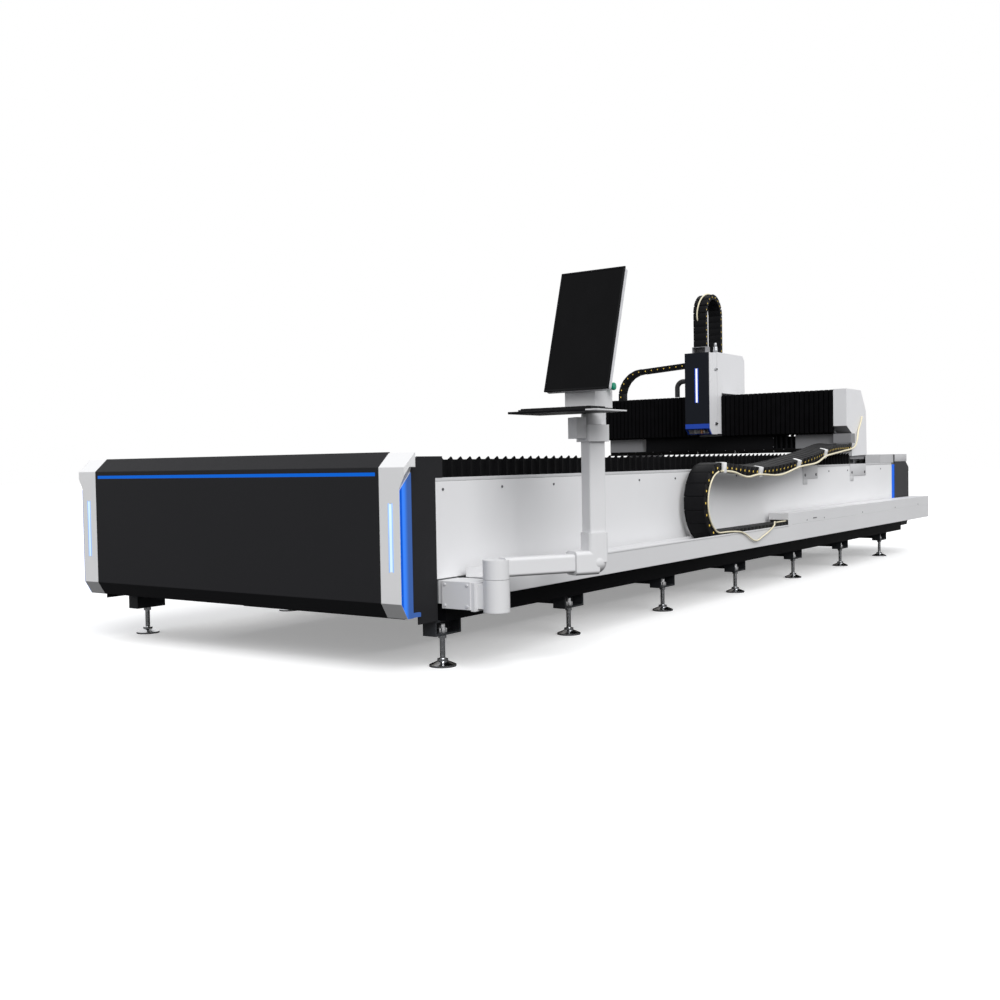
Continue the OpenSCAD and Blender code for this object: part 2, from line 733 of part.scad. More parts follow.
module beam_apron() color([0.07, 0.07, 0.08]) place() {
  y = beam_y0 + 25;
  z0 = sad_z1 - 7;
  bx(40 - side_x0, sad_x0 - 190, y, y + 12, z0, beam_z0);
  for (x = [sad_x0 - 180:45:sad_x0 - 45])
    bx(x, x + 16, y, y + 40, z0 + 14, beam_z0);
  bx(sad_x0 - 190, sad_x0 - 90, y + 34, y + 40, z0 + 13, beam_z0);
  bx(sad_x0 - 91, sad_x0 - 2, y + 34, y + 40, z0 + 13, beam_z0 - 16);
  bx(sad_x0 - 190, sad_x0 - 2, y, y + 40, z0, z0 + 14);
  bx(gx0 + 20, gx1 - 4, beam_y0 + 2, beam_y0 + 14, beam_z0 - 6, beam_z0);
}

module saddles() color([0.56, 0.57, 0.59]) place() {
  z1 = beam_z0;
  // Right side, under the beam and down to the guide blocks
  bx(sad_x0, gx1 - 2, beam_y0 + 16, beam_y1, sad_z1, z1);
  bx(gx1 - 8, hw + 14, gy + 20, gy + 125, sad_z1 + 38, z1 - 7);
  bx(gx1 - 8, gx1 - 2, gy + 20, beam_y0 + 20, sad_z1 + 38, z1 - 7);
  bx(side_x0 + 2, gx1 - 2, sad_y0, sad_y1, sad_z0, sad_z1);
  bx(gx1 - 3, side_x1 - 23, gy + 140, sad_y1, sad_z0, sad_z1);
  // Block that holds the end of the side chain
  bx(run_x1 - 50, run_x1 + 50, run_y1 - 38, run_y1, run_z1 + chain_t / 2 + 0.8, sad_z1 + 40);
  // Left side
  bx(gx0 + 10, 6 - side_x0, beam_y0 + 16, beam_y1, sad_z1, z1);
  bx(-side_x1 + 23, -side_x0 - 2, sad_y0, sad_y1, sad_z0, sad_z1 + 1);
}

module way_blocks() color([0.35, 0.37, 0.4]) place() {
  g = rail_w / 2 + clear;
  both() for (y = [sad_y0 + 30, sad_y1 - 150]) difference() {
    bx(rail_cx - 36, rail_cx + 36, y, y + 120, seat_z + 6, sad_z0);
    bx(rail_cx - g, rail_cx + g, y - 1, y + 121, seat_z, seat_z + rail_h + clear);
  }
}

module gantry_drives() color([0.12, 0.12, 0.13]) place() {
  for (p = [[gx1 + 47, sad_z1], [-rail_cx, sad_z1 + 1]]) translate([p[0], gy + 440, p[1]]) {
    translate([-45, -45, 0]) cube([90, 90, 60]);
    translate([0, 0, 60]) cylinder(d = 86, h = 260);
  }
}

// Outline of the right end cover seen from the side
function end_line(t) = [[gy + t, beam_z0 + 55 + t / 2], [gy + t, beam_z1 + 20 - t],
  [gy + 370 - t / 2, beam_z1 + 20 - t],
  [gy + 505 - t, beam_z1 - 150], [gy + 520 - t, bellows_z - 18 - (t > 0 ? 1 : 0)],
  [gy + 132 + t, bellows_z - 28 - (t > 0 ? 1 : 0)], [gy + 132 + t, beam_z0 - 5 + t / 2]];

module end_covers() color([0.87, 0.88, 0.89]) place() {
  x0 = gx1;
  x1 = gx1 + end_w;
  difference() {
    along_x(x0, x1, end_line(0));
    along_x(x0 + 4, x1 - 4, end_line(4));
    bx(x0 - 1, x0 + 5, gy + 136, gy + 516, bellows_z - 40, beam_z0 + 1);
  }
  difference() {
    bx(gx0 - 90, gx0, gy, beam_y1 + 4, beam_z0 - 5, beam_z1 + 20);
    bx(gx0 - 86, gx0 - 4, gy + 4, beam_y1, beam_z0 - 6, beam_z1 + 16);
  }
}

module beam_rails() color([0.7, 0.71, 0.73]) place() {
  for (z = [beam_z0 + 65, beam_z1 - 80])
    bx(gx0 + 20, gx1 - 20, beam_y0 - 24, beam_y0, z - 14, z + 14);
  bx(gx0 + 20, gx1 - 20, beam_y0 - 22, beam_y0, beam_z0 + 145, beam_z0 + 170);
}

module beam_bellows_left() color([0.04, 0.04, 0.045]) place() {
  beam_bellows(gx0, hx0);
}

module beam_bellows_right() color([0.04, 0.04, 0.045]) place() {
  beam_bellows(hx1, gx1);
}

module chain_shelf() color([0.45, 0.46, 0.48]) place() {
  bx(gx0 + 10, gx0 + 1660, beam_y1, beam_y1 + 130, shelf_z, shelf_z + 4);
  bx(gx0 + 10, gx0 + 1660, beam_y1, beam_y1 + 4, shelf_z, shelf_z + 30);
  bx(gx0 + 10, gx0 + 1660, beam_y1 + 126, beam_y1 + 130, shelf_z, shelf_z + 30);
}

module beam_chain_loop() color([0.05, 0.05, 0.05]) place() {
  translate([bc_x, bc_y, bc_z]) rotate([0, 0, -90]) {
    link_ring(11, bc_rc, bc_w, bc_t);
    translate([0, -4, -bc_rc]) link_row(1000, 64, bc_w, bc_t);
  }
}

module beam_chain_run() color([0.05, 0.05, 0.05]) place() {
  rise = body_z1 - 48 - bc_z - bc_rc;
  span = hx0 - bc_x - 8;
  tip = atan(rise / span);
  run = (span - (bc_t / 2 - 8) * sin(tip)) / cos(tip);
  translate([bc_x + 8, bc_y, bc_z + bc_rc]) rotate([0, -tip, 0]) rotate([0, 0, -90])
    link_row(run, 64, bc_w, bc_t);
}

// Head carriage

module carriage_plate() color([0.83, 0.84, 0.85]) place() {
  bx(hx0, hx1, car_y0, gy + 20, beam_z0 + 20, body_z1);
}

module carriage_body() color([0.86, 0.87, 0.88]) place() {
  y0 = gy + 20;
  y1 = body_y1;
  difference() {
    along_x(hx0, hx1, [[y0, body_z0], [y0, body_z1], [y1 - 40, body_z1], [y1, body_z1 - 40], [y1, body_z0]]);
    along_x(hx0 + 4, hx1 - 4, [[y0 + 4, body_z0 - 1], [y0 + 4, body_z1 - 4], [y1 - 42, body_z1 - 4],
      [y1 - 4, body_z1 - 42], [y1 - 4, body_z0 - 1]]);
  }
}

module carriage_blocks() color([0.35, 0.37, 0.4]) place() {
  g = 14 + clear;
  for (z = [beam_z0 + 65, beam_z1 - 80])
    for (x = [hx0 + 20, hx1 - 90]) difference() {
      bx(x, x + 70, gy + 20, beam_y0 - 6, z - 32, z + 32);
      bx(x - 1, x + 71, beam_y0 - 24 - clear, beam_y0, z - g, z + g);
    }
}

module lift_guide() color([0.68, 0.69, 0.71]) place() {
  z0 = beam_z0 + 65;
  z1 = head_z1 - 140;
  for (x = [hxm - 70, hxm + 70])
    bx(x - 10, x + 10, zr_y, car_y0, z0, z1);
  translate([hxm, zr_y - 2, z0 - 20]) cylinder(d = 16, h = z1 - z0 + 28);
  bx(hxm - 25, hxm + 25, zr_y - 20, car_y0, z0 - 30, z0 - 10);
  bx(hxm - 25, hxm + 25, zr_y - 20, car_y0, z1 - 12, z1 + 8);
}

module head_conduit() color([0.13, 0.13, 0.14]) place() {
  y = gy + 130;
  z = body_z0 + 130;
  translate([hx0, y, z]) rotate([0, -90, 0]) cylinder(d = 44, h = 200);
  intersection() {
    translate([hx0 - 200, y, z - 60]) rotate([90, 0, 0]) rotate_extrude() translate([60, 0]) circle(d = 44);
    bx(hx0 - 300, hx0 - 200, y - 30, y + 30, z - 60, z + 30);
  }
  translate([hx0 - 260, y, z - 138]) cylinder(d = 44, h = 78);
}

// Lifting head

module head_front() color([0.03, 0.03, 0.035]) place() {
  lz = head_z0 + 185;
  difference() {
    bx(hx0, hx1, lift_y0, lift_y0 + 18, head_z0, head_z1);
    bx(hxm - 8, hxm + 8, lift_y0 - 1, lift_y0 + 5, lz, lz + 290);
  }
}

module head_light() color([0.85, 0.92, 1]) place() {
  lz = head_z0 + 185;
  bx(hxm - 8, hxm + 8, lift_y0, lift_y0 + 5, lz, lz + 290);
}

module head_shell() color([0.84, 0.85, 0.86]) place() {
  y0 = lift_y0 + 18;
  y1 = lift_y1;
  z0 = beam_z0 + 15;
  pts = [[y0, head_z0], [y0, head_z1], [y1, head_z1], [y1, z0], [lift_y0 + 66, z0], [y0, head_z0 - 40]];
  difference() {
    along_x(hx0, hx1, pts);
    bx(hx0 + 4, hx1 - 4, y0 - 1, y1 + 1, z0 - 1, head_z1 - 4);
  }
}

module head_chin() color([0.06, 0.25, 0.85]) place() {
  z0 = beam_z0 + 15;
  y = lift_y0;
  difference() {
    along_x(hx0, hx1, [[y, head_z0], [y, head_z0 - 40], [y + 48, z0], [y + 66, z0], [y + 18, head_z0 - 40],
      [y + 18, head_z0]]);
    bx(hx0 + 14, hx1 - 14, y - 1, y + 80, z0 + 8, head_z0 - 48);
  }
}

module lift_plate() color([0.5, 0.51, 0.53]) place() {
  z0 = beam_z0 + 70;
  z1 = head_z1 - 290;
  y0 = gun_y + 22;
  difference() {
    union() {
      bx(hxm - 106, hxm + 106, y0, y0 + 20, z0 - 4, z1 + 20);
      for (x = [hxm - 70, hxm + 70])
        for (z = [z0, z1 - 80])
          bx(x - 22, x + 22, y0 + 19, car_y0 - 8, z, z + 80);
      bx(hxm - 22, hxm + 22, y0 + 19, car_y0 - 4, z0 + 140, z0 + 190);
    }
    for (x = [hxm - 70, hxm + 70])
      bx(x - 10 - clear, x + 10 + clear, zr_y - clear, car_y0, z0 - 1, z1 + 1);
    translate([hxm, zr_y - 2, z0]) cylinder(r = 8 + clear, h = z1 - z0);
  }
}

module cutting_head() color([0.55, 0.57, 0.6]) place() {
  z0 = gun_z;
  difference() {
    union() {
      translate([hxm, gun_y, z0]) cylinder(d = gun_d, h = 420);
      translate([hxm, gun_y, z0 + 420]) cylinder(d = 56, h = 120);
      bx(hxm - 32, hxm + 32, gun_y, gun_y + 22, z0 + 60, z0 + 300);
    }
    bx(hxm - 60, hxm + 60, gun_y + 22, gun_y + 80, z0 - 1, z0 + 421);
  }
}

module nozzle() color([0.72, 0.45, 0.2]) place() {
  z0 = gun_z;
  translate([hxm, gun_y, 0]) rotate_extrude() polygon([[1.5, z0], [20, z0], [20, z0 - 40], [15, z0 - 70],
    [14, z0 - 88], [6, z0 - 104], [1.5, z0 - 104]]);
}

module chain_foot() color([0.6, 0.61, 0.63]) place() {
  difference() {
    bx(hxm - 63, hxm + 63, lc_y - 40, lc_y + 48, head_z1, foot_top);
    bx(hxm - 57, hxm + 57, lc_y - 41, lc_y + 40, head_z1 + 5, foot_top - 5);
  }
}

module lift_chain() color([0.05, 0.05, 0.05]) place() {
  translate([hxm, lc_y + lc_rc, lc_z]) rotate([-90, 0, 0]) link_ring(8, lc_rc, lc_w, lc_t);
  translate([hxm, lc_y, foot_top + 0.3]) rotate([90, 0, 0])
    link_row(lc_z - foot_top + 4, 60, lc_w, lc_t);
  translate([hxm, lc_y + 2 * lc_rc, body_z1]) rotate([90, 0, 0])
    link_row(lc_z - body_z1 + 4, 60, lc_w, lc_t);
}

// Console

module console_arm() color([0.9, 0.91, 0.92]) place() on_arm() {
  translate([0, 0, 397]) cylinder(d = post_d, h = 83);
  translate([0, 0, 344]) cylinder(d = 44, h = 60);
  translate([0, 30, arm_z]) rotate([-90, 0, 0]) linear_extrude(height = arm_len - 140) soft(72, 80, 14);
  translate([0, arm_len - 115, arm_z]) rotate([-90, 0, 0]) linear_extrude(height = 115) soft(96, 104, 18);
  translate([0, arm_len, arm_z]) sphere(d = 104);
  translate([0, arm_len, 0]) soft_post(96, 96, arm_z, arm_z + 130, 18);
}

module console_column() color([0.87, 0.88, 0.89]) place() on_arm() {
  translate([0, arm_len, 0]) difference() {
    union() {
      soft_post(col_w, col_w, arm_z + 130, col_z, 8);
      soft_post(110, 110, col_z, ring_z - 1, 10);
      translate([-40, -100, col_z + 14]) cube([80, 46, 92]);
    }
    translate([0, 0, ring_z - 64]) cylinder(d = 44 + 2 * clear, h = 70);
  }
}

module console_deck() color([0.87, 0.88, 0.89]) place() on_top() {
  x0 = -90;
  x1 = 60;
  z0 = deck_z + 6;
  z1 = z0 + 76;
  difference() {
    union() {
      translate([0, 0, ring_z]) cylinder(d = 98, h = z0 - ring_z + 1);
      translate([0, 0, ring_z - 60]) cylinder(d = 44, h = 61);
      bx(x0, x1, -80, 72, z0, z1);
      bx(10, x1, -18, 72, z1 - 1, z1 + 36);
      // Ears that carry the monitor hinge
      for (x = [-62, 12])
        bx(x, x + 20, -76, -18, z1 - 1, tilt_z + 16);
    }
    translate([x1 - 10, 30, z1 + 16]) rotate([0, 90, 0]) cylinder(d = button_d - 6 + 2 * clear, h = 20);
    translate([x0, tilt_y - axis_y, tilt_z]) rotate([0, 90, 0]) cylinder(d = 14 + 2 * clear, h = 200);
  }
  // Keyboard shelf under the front of the deck, on its hanger
  bx(-20 - shelf_w / 2, -20 + shelf_w / 2, -300, -52, shelf_z1 - 6, shelf_z1);
  bx(-70, 40, -80, -52, shelf_z1 - 1, z0 + 1);
}

module keyboard() color([0.06, 0.06, 0.065]) place() on_top() {
  z = shelf_z1;
  bx(-200, 160, -282, -142, z, z + 9);
  for (j = [0:4])
    for (i = [0:13])
      bx(-192 + i * 25, -192 + i * 25 + 20, -274 + j * 25, -274 + j * 25 + 20, z + 9, z + 14);
}

module on_monitor() {
  on_top() translate([0, tilt_y - axis_y, tilt_z]) rotate([-mon_lean, 0, 0]) children();
}

module monitor_shell() color([0.85, 0.86, 0.87]) place() on_monitor() {
  x = -8;
  y0 = -52;
  z = mon_h / 2 - mon_drop;
  difference() {
    union() {
      translate([x, y0, z]) rotate([-90, 0, 0]) linear_extrude(height = 26) soft(mon_w, mon_h, 12);
      translate([x, y0 + 26, z + 20]) rotate([-90, 0, 0]) linear_extrude(height = 14)
        soft(mon_w - 60, mon_h - 130, 14);
      bx(-37, 7, y0 + 25, 9, -9, 60);
      translate([-66, 0, 0]) rotate([0, 90, 0]) cylinder(d = 14, h = 102);
    }
    translate([x, y0 - 1, z]) rotate([-90, 0, 0]) linear_extrude(height = 5)
      soft(mon_w - 8, mon_h - 8, 8);
  }
}

module monitor_screen() color([0.01, 0.01, 0.015]) place() on_monitor() {
  translate([-8, -52, mon_h / 2 - mon_drop]) rotate([-90, 0, 0]) linear_extrude(height = 4)
    soft(mon_w - 8, mon_h - 8, 8);
}

module start_button() color([0.05, 0.5, 0.36]) place() on_top() {
  z = deck_z + 6 + 76 + 16;
  translate([54, 30, z]) rotate([0, 90, 0]) cylinder(d = button_d - 6, h = 12);
  translate([66, 30, z]) rotate([0, 90, 0]) cylinder(d = button_d, h = 8);
}

bed_frame();
lower_tubes();
foot_brackets();
feet();
side_panels();
panel_screws();
near_cover();
near_trims();
near_cheeks();
glow_strips();
light_bars();
far_cover();
way_covers();
bed_rails();
slats();
slat_combs();
scrap_trays();
front_bellows();
rear_bellows();
chain_tray();
tray_lid();
console_box();
console_post();
gantry_beam();
beam_apron();
saddles();
way_blocks();
gantry_drives();
end_covers();
beam_rails();
beam_bellows_left();
beam_bellows_right();
chain_shelf();
side_chain_loop();
side_chain_run();
side_hose_run();
side_hose_tail();
carriage_plate();
carriage_body();
carriage_blocks();
lift_guide();
head_conduit();
beam_chain_loop();
beam_chain_run();
head_front();
head_shell();
head_light();
head_chin();
lift_plate();
cutting_head();
nozzle();
chain_foot();
lift_chain();
console_arm();
console_column();
console_deck();
keyboard();
monitor_shell();
monitor_screen();
start_button();
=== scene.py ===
"""Looks of an open-bed fiber laser cutting machine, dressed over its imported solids."""
import logging
import math
from dataclasses import dataclass, field
from enum import Enum
from typing import Any, Sequence

import bmesh
import bpy
from mathutils import Matrix, Vector


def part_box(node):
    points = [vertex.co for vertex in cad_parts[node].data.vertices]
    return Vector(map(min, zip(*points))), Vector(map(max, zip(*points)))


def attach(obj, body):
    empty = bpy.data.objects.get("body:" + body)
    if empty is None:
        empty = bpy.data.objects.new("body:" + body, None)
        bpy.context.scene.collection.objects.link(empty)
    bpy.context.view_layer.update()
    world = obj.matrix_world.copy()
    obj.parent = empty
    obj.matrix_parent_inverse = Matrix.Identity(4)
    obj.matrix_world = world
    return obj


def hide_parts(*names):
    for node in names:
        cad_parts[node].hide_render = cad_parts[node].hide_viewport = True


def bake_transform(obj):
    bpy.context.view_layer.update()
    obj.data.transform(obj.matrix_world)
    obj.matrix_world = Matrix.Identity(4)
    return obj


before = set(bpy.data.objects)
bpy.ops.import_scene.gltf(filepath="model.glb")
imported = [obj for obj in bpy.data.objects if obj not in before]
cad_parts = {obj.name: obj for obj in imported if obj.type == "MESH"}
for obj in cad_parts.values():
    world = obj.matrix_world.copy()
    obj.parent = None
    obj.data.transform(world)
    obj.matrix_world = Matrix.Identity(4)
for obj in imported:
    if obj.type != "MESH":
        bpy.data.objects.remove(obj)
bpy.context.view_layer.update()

LOG = logging.getLogger("laser_cutter")
MM = 0.001
WHITE = (1.0, 1.0, 1.0, 1.0)
Colour = tuple[float, float, float]


class Axis(Enum):
    """Directions of the row frame that slides run along."""

    X = Vector((1, 0, 0))
    Y = Vector((0, 1, 0))


class Body(Enum):
    """Rigid bodies that pieces ride on."""

    BED = "bed"
    GANTRY = "gantry"
    SIDE_CHAIN = "side_chain"
    CARRIAGE = "carriage"
    BEAM_CHAIN = "beam_chain"
    HEAD = "head"
    TOP = "console_top"
    MONITOR = "monitor"
    BUTTON = "button"


@dataclass(frozen=True)
class MachineFrame:
    """Turns sizes measured from the near face and centre line of the bed into row coordinates."""

    left: float
    near: float

    @classmethod
    def from_near_cover(cls) -> "MachineFrame":
        """Reads the bed's centre line and near face from the near cover's box.

        Returns:
            The frame whose X is zero on the centre line and whose Y is zero on the near face.
        """
        low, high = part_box("near_cover")
        return cls((low.x + high.x) / 2, low.y)

    def at(self, x: float, y: float, z: float) -> Vector:
        """Places a point.

        Args:
            x: Millimetres right of the centre line.
            y: Millimetres behind the near face.
            z: Millimetres above the floor.

        Returns:
            The point in the row frame, in metres.
        """
        return Vector((x * MM + self.left, y * MM + self.near, z * MM))


MACHINE = MachineFrame.from_near_cover()


def mm(x: float, y: float, z: float) -> Vector:
    """A step that is given in millimetres, in metres."""
    return Vector((x, y, z)) * MM


class Wire:
    """A node's output that takes part in Python arithmetic."""

    def __init__(self, graph: "Graph", socket: bpy.types.NodeSocket) -> None:
        """Keeps the socket and the graph that holds it."""
        self.graph = graph
        self.socket = socket

    def _math(self, operation: str, first: Any, second: Any) -> "Wire":
        """Adds one Math node.

        Args:
            operation: Name of the Math node's operation.
            first: Left value or wire.
            second: Right value or wire.

        Returns:
            The result.
        """
        return self.graph.add("ShaderNodeMath", {"operation": operation}, {0: first, 1: second})

    def __add__(self, other: Any) -> "Wire":
        """Sum."""
        return self._math("ADD", self, other)

    def __mul__(self, other: Any) -> "Wire":
        """Product."""
        return self._math("MULTIPLY", self, other)

    def __sub__(self, other: Any) -> "Wire":
        """Difference."""
        return self._math("SUBTRACT", self, other)

    def __rsub__(self, other: Any) -> "Wire":
        """Difference with the wire on the right."""
        return self._math("SUBTRACT", other, self)

    def __gt__(self, other: Any) -> "Wire":
        """One where the wire is larger, else zero."""
        return self._math("GREATER_THAN", self, other)

    def power(self, exponent: float) -> "Wire":
        """The wire raised to an exponent."""
        return self._math("POWER", self, exponent)

    def larger(self, other: Any) -> "Wire":
        """The larger of two values."""
        return self._math("MAXIMUM", self, other)


class Graph:
    """Node tree of one material or of the world."""

    def __init__(self, tree: bpy.types.NodeTree) -> None:
        """Empties a tree and keeps it."""
        self.tree = tree
        tree.nodes.clear()

    def add(self, kind: str, settings: dict[str, Any] | None = None,
            sockets: dict[Any, Any] | None = None, output: int | str = 0) -> Wire:
        """Adds one node.

        Args:
            kind: Blender's type name of the node.
            settings: Properties that are set first.
            sockets: Value or wire for each input, by name or number.
            output: Name or number of the output that is wanted.

        Returns:
            That output.
        """
        node = self.tree.nodes.new(kind)
        for name, value in (settings or {}).items():
            setattr(node, name, value)
        for key, value in (sockets or {}).items():
            if isinstance(value, Wire):
                self.tree.links.new(value.socket, node.inputs[key])
            else:
                node.inputs[key].default_value = value
        return Wire(self, node.outputs[output])

    def mix(self, share: Any, first: Any, second: Any) -> Wire:
        """Mixes two colours.

        Args:
            share: Share of the second colour.
            first: Colour or wire.
            second: Colour or wire.

        Returns:
            The mixed colour.
        """
        return self.add("ShaderNodeMix", {"data_type": "RGBA"}, {0: share, 6: first, 7: second}, 2)

    def place(self, scale: Sequence[float] = (1, 1, 1)) -> Wire:
        """Object coordinates, stretched by a factor along each axis."""
        raw = self.add("ShaderNodeTexCoord", output="Object")
        return self.add("ShaderNodeMapping", None, {"Vector": raw, "Scale": scale})

    def noise(self, scale: float, detail: float = 2.0, where: Wire | None = None) -> Wire:
        """Cloudy values between zero and one.

        Args:
            scale: Lumps per metre.
            detail: Number of finer layers.
            where: Coordinates, or plain Object coordinates if left out.

        Returns:
            The values.
        """
        return self.add("ShaderNodeTexNoise", None,
                        {"Vector": where or self.place(), "Scale": scale, "Detail": detail})

    def bump(self, height: Wire, strength: float, depth: float, under: Wire | None = None) -> Wire:
        """Surface relief.

        Args:
            height: Relief between zero and one.
            strength: Share of the effect.
            depth: Height of the relief in metres.
            under: Normal that the relief sits on.

        Returns:
            The normal.
        """
        sockets = {"Height": height, "Strength": strength, "Distance": depth}
        if under is not None:
            sockets["Normal"] = under
        return self.add("ShaderNodeBump", None, sockets)


@dataclass(frozen=True)
class Finish:
    """A surface finish that makes one material."""

    name: str
    colour: Colour
    roughness: float = 0.45
    gloss: float = 0.4

    def material(self) -> bpy.types.Material:
        """Makes the material once and gives the same one afterwards.

        Returns:
            The material.
        """
        found = bpy.data.materials.get(self.name)
        if found:
            return found
        made = bpy.data.materials.new(self.name)
        made.use_nodes = True
        graph = Graph(made.node_tree)
        sockets: dict[str, Any] = {"Base Color": (*self.colour, 1.0), "Roughness": self.roughness,
                                   "Specular IOR Level": self.gloss}
        sockets.update(self.dress(graph))
        surface = graph.add("ShaderNodeBsdfPrincipled", None, sockets)
        self.close(graph, surface)
        return made

    @staticmethod
    def close(graph: Graph, surface: Wire) -> None:
        """Joins the surface to the tree's output."""
        end = graph.tree.nodes.new("ShaderNodeOutputMaterial")
        graph.tree.links.new(surface.socket, end.inputs["Surface"])

    def shade(self, factor: float) -> tuple[float, float, float, float]:
        """The finish's colour made lighter or darker by a factor."""
        return (*(min(1.0, c * factor) for c in self.colour), 1.0)

    def uneven(self, pattern: Wire, share: float, drop: float) -> Wire:
        """Roughness that rises with a pattern from a drop below the finish's own."""
        return pattern * share + (self.roughness - drop)

    def dress(self, graph: Graph) -> dict[str, Any]:
        """Sockets that vary over the surface; each kind of finish has its own.

        Args:
            graph: Tree that the nodes go into.

        Returns:
            Value or wire of each socket, by name.
        """
        return {}


@dataclass(frozen=True)
class PowderCoat(Finish):
    """Baked coat with orange peel, faint clouding, rubbed edges and painted shade on its
    undersides.
    """

    rubbed: float = 1.12
    clouding: float = 0.05
    # Colour factor of the painted shade on downward faces; the next two fields set where it starts
    # and how fast it deepens.
    under: float = 0.42
    underside_shade_start: float = 0.15
    underside_shade_gain: float = 1.8
    cloud_scale: float = 1.7
    smear_scale: float = 9.0
    smear_share: float = 0.12
    edge_radius: float = 0.004
    edge_gain: float = 3.0
    peel_scale: float = 420.0
    peel_depth: float = 0.0004

    def dress(self, graph: Graph) -> dict[str, Any]:
        """Clouded colour, rubbed edges, painted shade on downward faces, uneven gloss and orange
        peel.

        Args:
            graph: Tree that the nodes go into.

        Returns:
            Value or wire of each socket, by name.
        """
        clouds = graph.noise(self.cloud_scale, 4.0)
        smears = graph.noise(self.smear_scale, 3.0, graph.place((1.0, 1.0, 0.35)))
        soft = graph.add("ShaderNodeBevel", {"samples": 4}, {"Radius": self.edge_radius})
        true = graph.add("ShaderNodeNewGeometry", output="Normal")
        facing = graph.add("ShaderNodeVectorMath", {"operation": "DOT_PRODUCT"},
                           {0: soft, 1: true}, "Value")
        upward = graph.add("ShaderNodeSeparateXYZ", None, {"Vector": true}, "Z")
        cloudy = graph.mix(clouds, self.shade(1 - self.clouding), self.shade(1 + self.clouding))
        rubbed = graph.mix((1 - facing) * self.edge_gain, cloudy, self.shade(self.rubbed))
        # Painted shade: the colour darkens on faces that look downwards, where less light falls.
        painted_underside_shade = (-self.underside_shade_start - upward) * self.underside_shade_gain
        peel = graph.noise(self.peel_scale, 1.0)
        return {"Base Color": graph.mix(painted_underside_shade, rubbed, self.shade(self.under)),
                "Roughness": self.uneven(smears, self.smear_share, self.smear_share / 2),
                "Normal": graph.bump(peel, 0.18, self.peel_depth, soft)}


@dataclass(frozen=True)
class Metal(Finish):
    """Bare metal with fine marks along one direction."""

    grain: tuple[float, float, float] = (4.0, 160.0, 160.0)
    metallic: float = 1.0
    streak_share: float = 0.2
    streak_depth: float = 0.0003
    stain_scale: float = 6.0
    stain_share: float = 0.35

    def dress(self, graph: Graph) -> dict[str, Any]:
        """Streaked colour and roughness with a little relief.

        Args:
            graph: Tree that the nodes go into.

        Returns:
            Value or wire of each socket, by name.
        """
        streaks = graph.noise(1.0, 3.0, graph.place(self.grain))
        stains = graph.noise(self.stain_scale, 4.0)
        worn = graph.mix(streaks, self.shade(0.82), self.shade(1.14))
        return {"Base Color": graph.mix(stains * self.stain_share, worn, self.shade(0.7)),
                "Metallic": self.metallic,
                "Roughness": self.uneven(streaks, self.streak_share, 0.08),
                "Normal": graph.bump(streaks, 0.25, self.streak_depth)}


@dataclass(frozen=True)
class CoatedCloth(Finish):
    """Coated bellows cloth with a fine weave and rubbed folds."""

    weave_scale: float = 180.0
    weave_wobble: float = 0.6
    weave_depth: float = 0.0005
    dust_scale: float = 14.0

    def dress(self, graph: Graph) -> dict[str, Any]:
        """Woven relief, dusty patches and uneven dullness.

        Args:
            graph: Tree that the nodes go into.

        Returns:
            Value or wire of each socket, by name.
        """
        weft, warp = (graph.add("ShaderNodeTexWave", {"bands_direction": axis},
                                {"Vector": graph.place(), "Scale": self.weave_scale,
                                 "Distortion": self.weave_wobble}) for axis in "YZ")
        dust = graph.noise(self.dust_scale, 5.0)
        return {"Base Color": graph.mix(dust.power(2.0), self.shade(0.8), self.shade(2.2)),
                "Roughness": self.uneven(dust, 0.2, 0.1),
                "Normal": graph.bump(weft * warp, 0.3, self.weave_depth)}


@dataclass(frozen=True)
class MouldedPlastic(Finish):
    """Moulded plastic with a fine spark texture and handling marks."""

    texture: float = 600.0
    texture_depth: float = 0.0003
    scuff_scale: float = 30.0

    def dress(self, graph: Graph) -> dict[str, Any]:
        """Spark texture, scuffs and slight clouding.

        Args:
            graph: Tree that the nodes go into.

        Returns:
            Value or wire of each socket, by name.
        """
        spark = graph.noise(self.texture, 2.0)
        scuffs = graph.noise(self.scuff_scale, 5.0, graph.place((1.0, 0.3, 1.0)))
        return {"Base Color": graph.mix(scuffs, self.shade(0.85), self.shade(1.25)),
                "Roughness": self.uneven(scuffs, 0.15, 0.07),
                "Normal": graph.bump(spark, 0.2, self.texture_depth)}


@dataclass(frozen=True)
class Ribbed(Finish):
    """Hose or conduit with rings round it."""

    ring_axis: str = "Z"
    rings: float = 40.0
    ring_depth: float = 0.002
    stain_scale: float = 22.0

    def dress(self, graph: Graph) -> dict[str, Any]:
        """Rings in relief over a slightly stained colour.

        Args:
            graph: Tree that the nodes go into.

        Returns:
            Value or wire of each socket, by name.
        """
        rings = graph.add("ShaderNodeTexWave", {"bands_direction": self.ring_axis},
                          {"Vector": graph.place(), "Scale": self.rings})
        stains = graph.noise(self.stain_scale, 4.0)
        return {"Base Color": graph.mix(stains, self.shade(0.86), self.shade(1.08)),
                "Roughness": self.uneven(stains, 0.15, 0.07),
                "Normal": graph.bump(rings, 0.5, self.ring_depth)}


@dataclass(frozen=True)
class Glow(Finish):
    """Lit diffuser, a little uneven along its length."""

    light: float = 1.0
    dip_scale: float = 5.0

    def dress(self, graph: Graph) -> dict[str, Any]:
        """Emission with soft dips between the lamps behind it.

        Args:
            graph: Tree that the nodes go into.

        Returns:
            Value or wire of each socket, by name.
        """
        dips = graph.noise(self.dip_scale, 2.0)
        return {"Base Color": self.shade(0.5), "Emission Strength": self.light,
                "Emission Color": graph.mix(dips, self.shade(0.8), self.shade(1.15)),
                "Roughness": self.uneven(dips, 0.1, 0.05)}


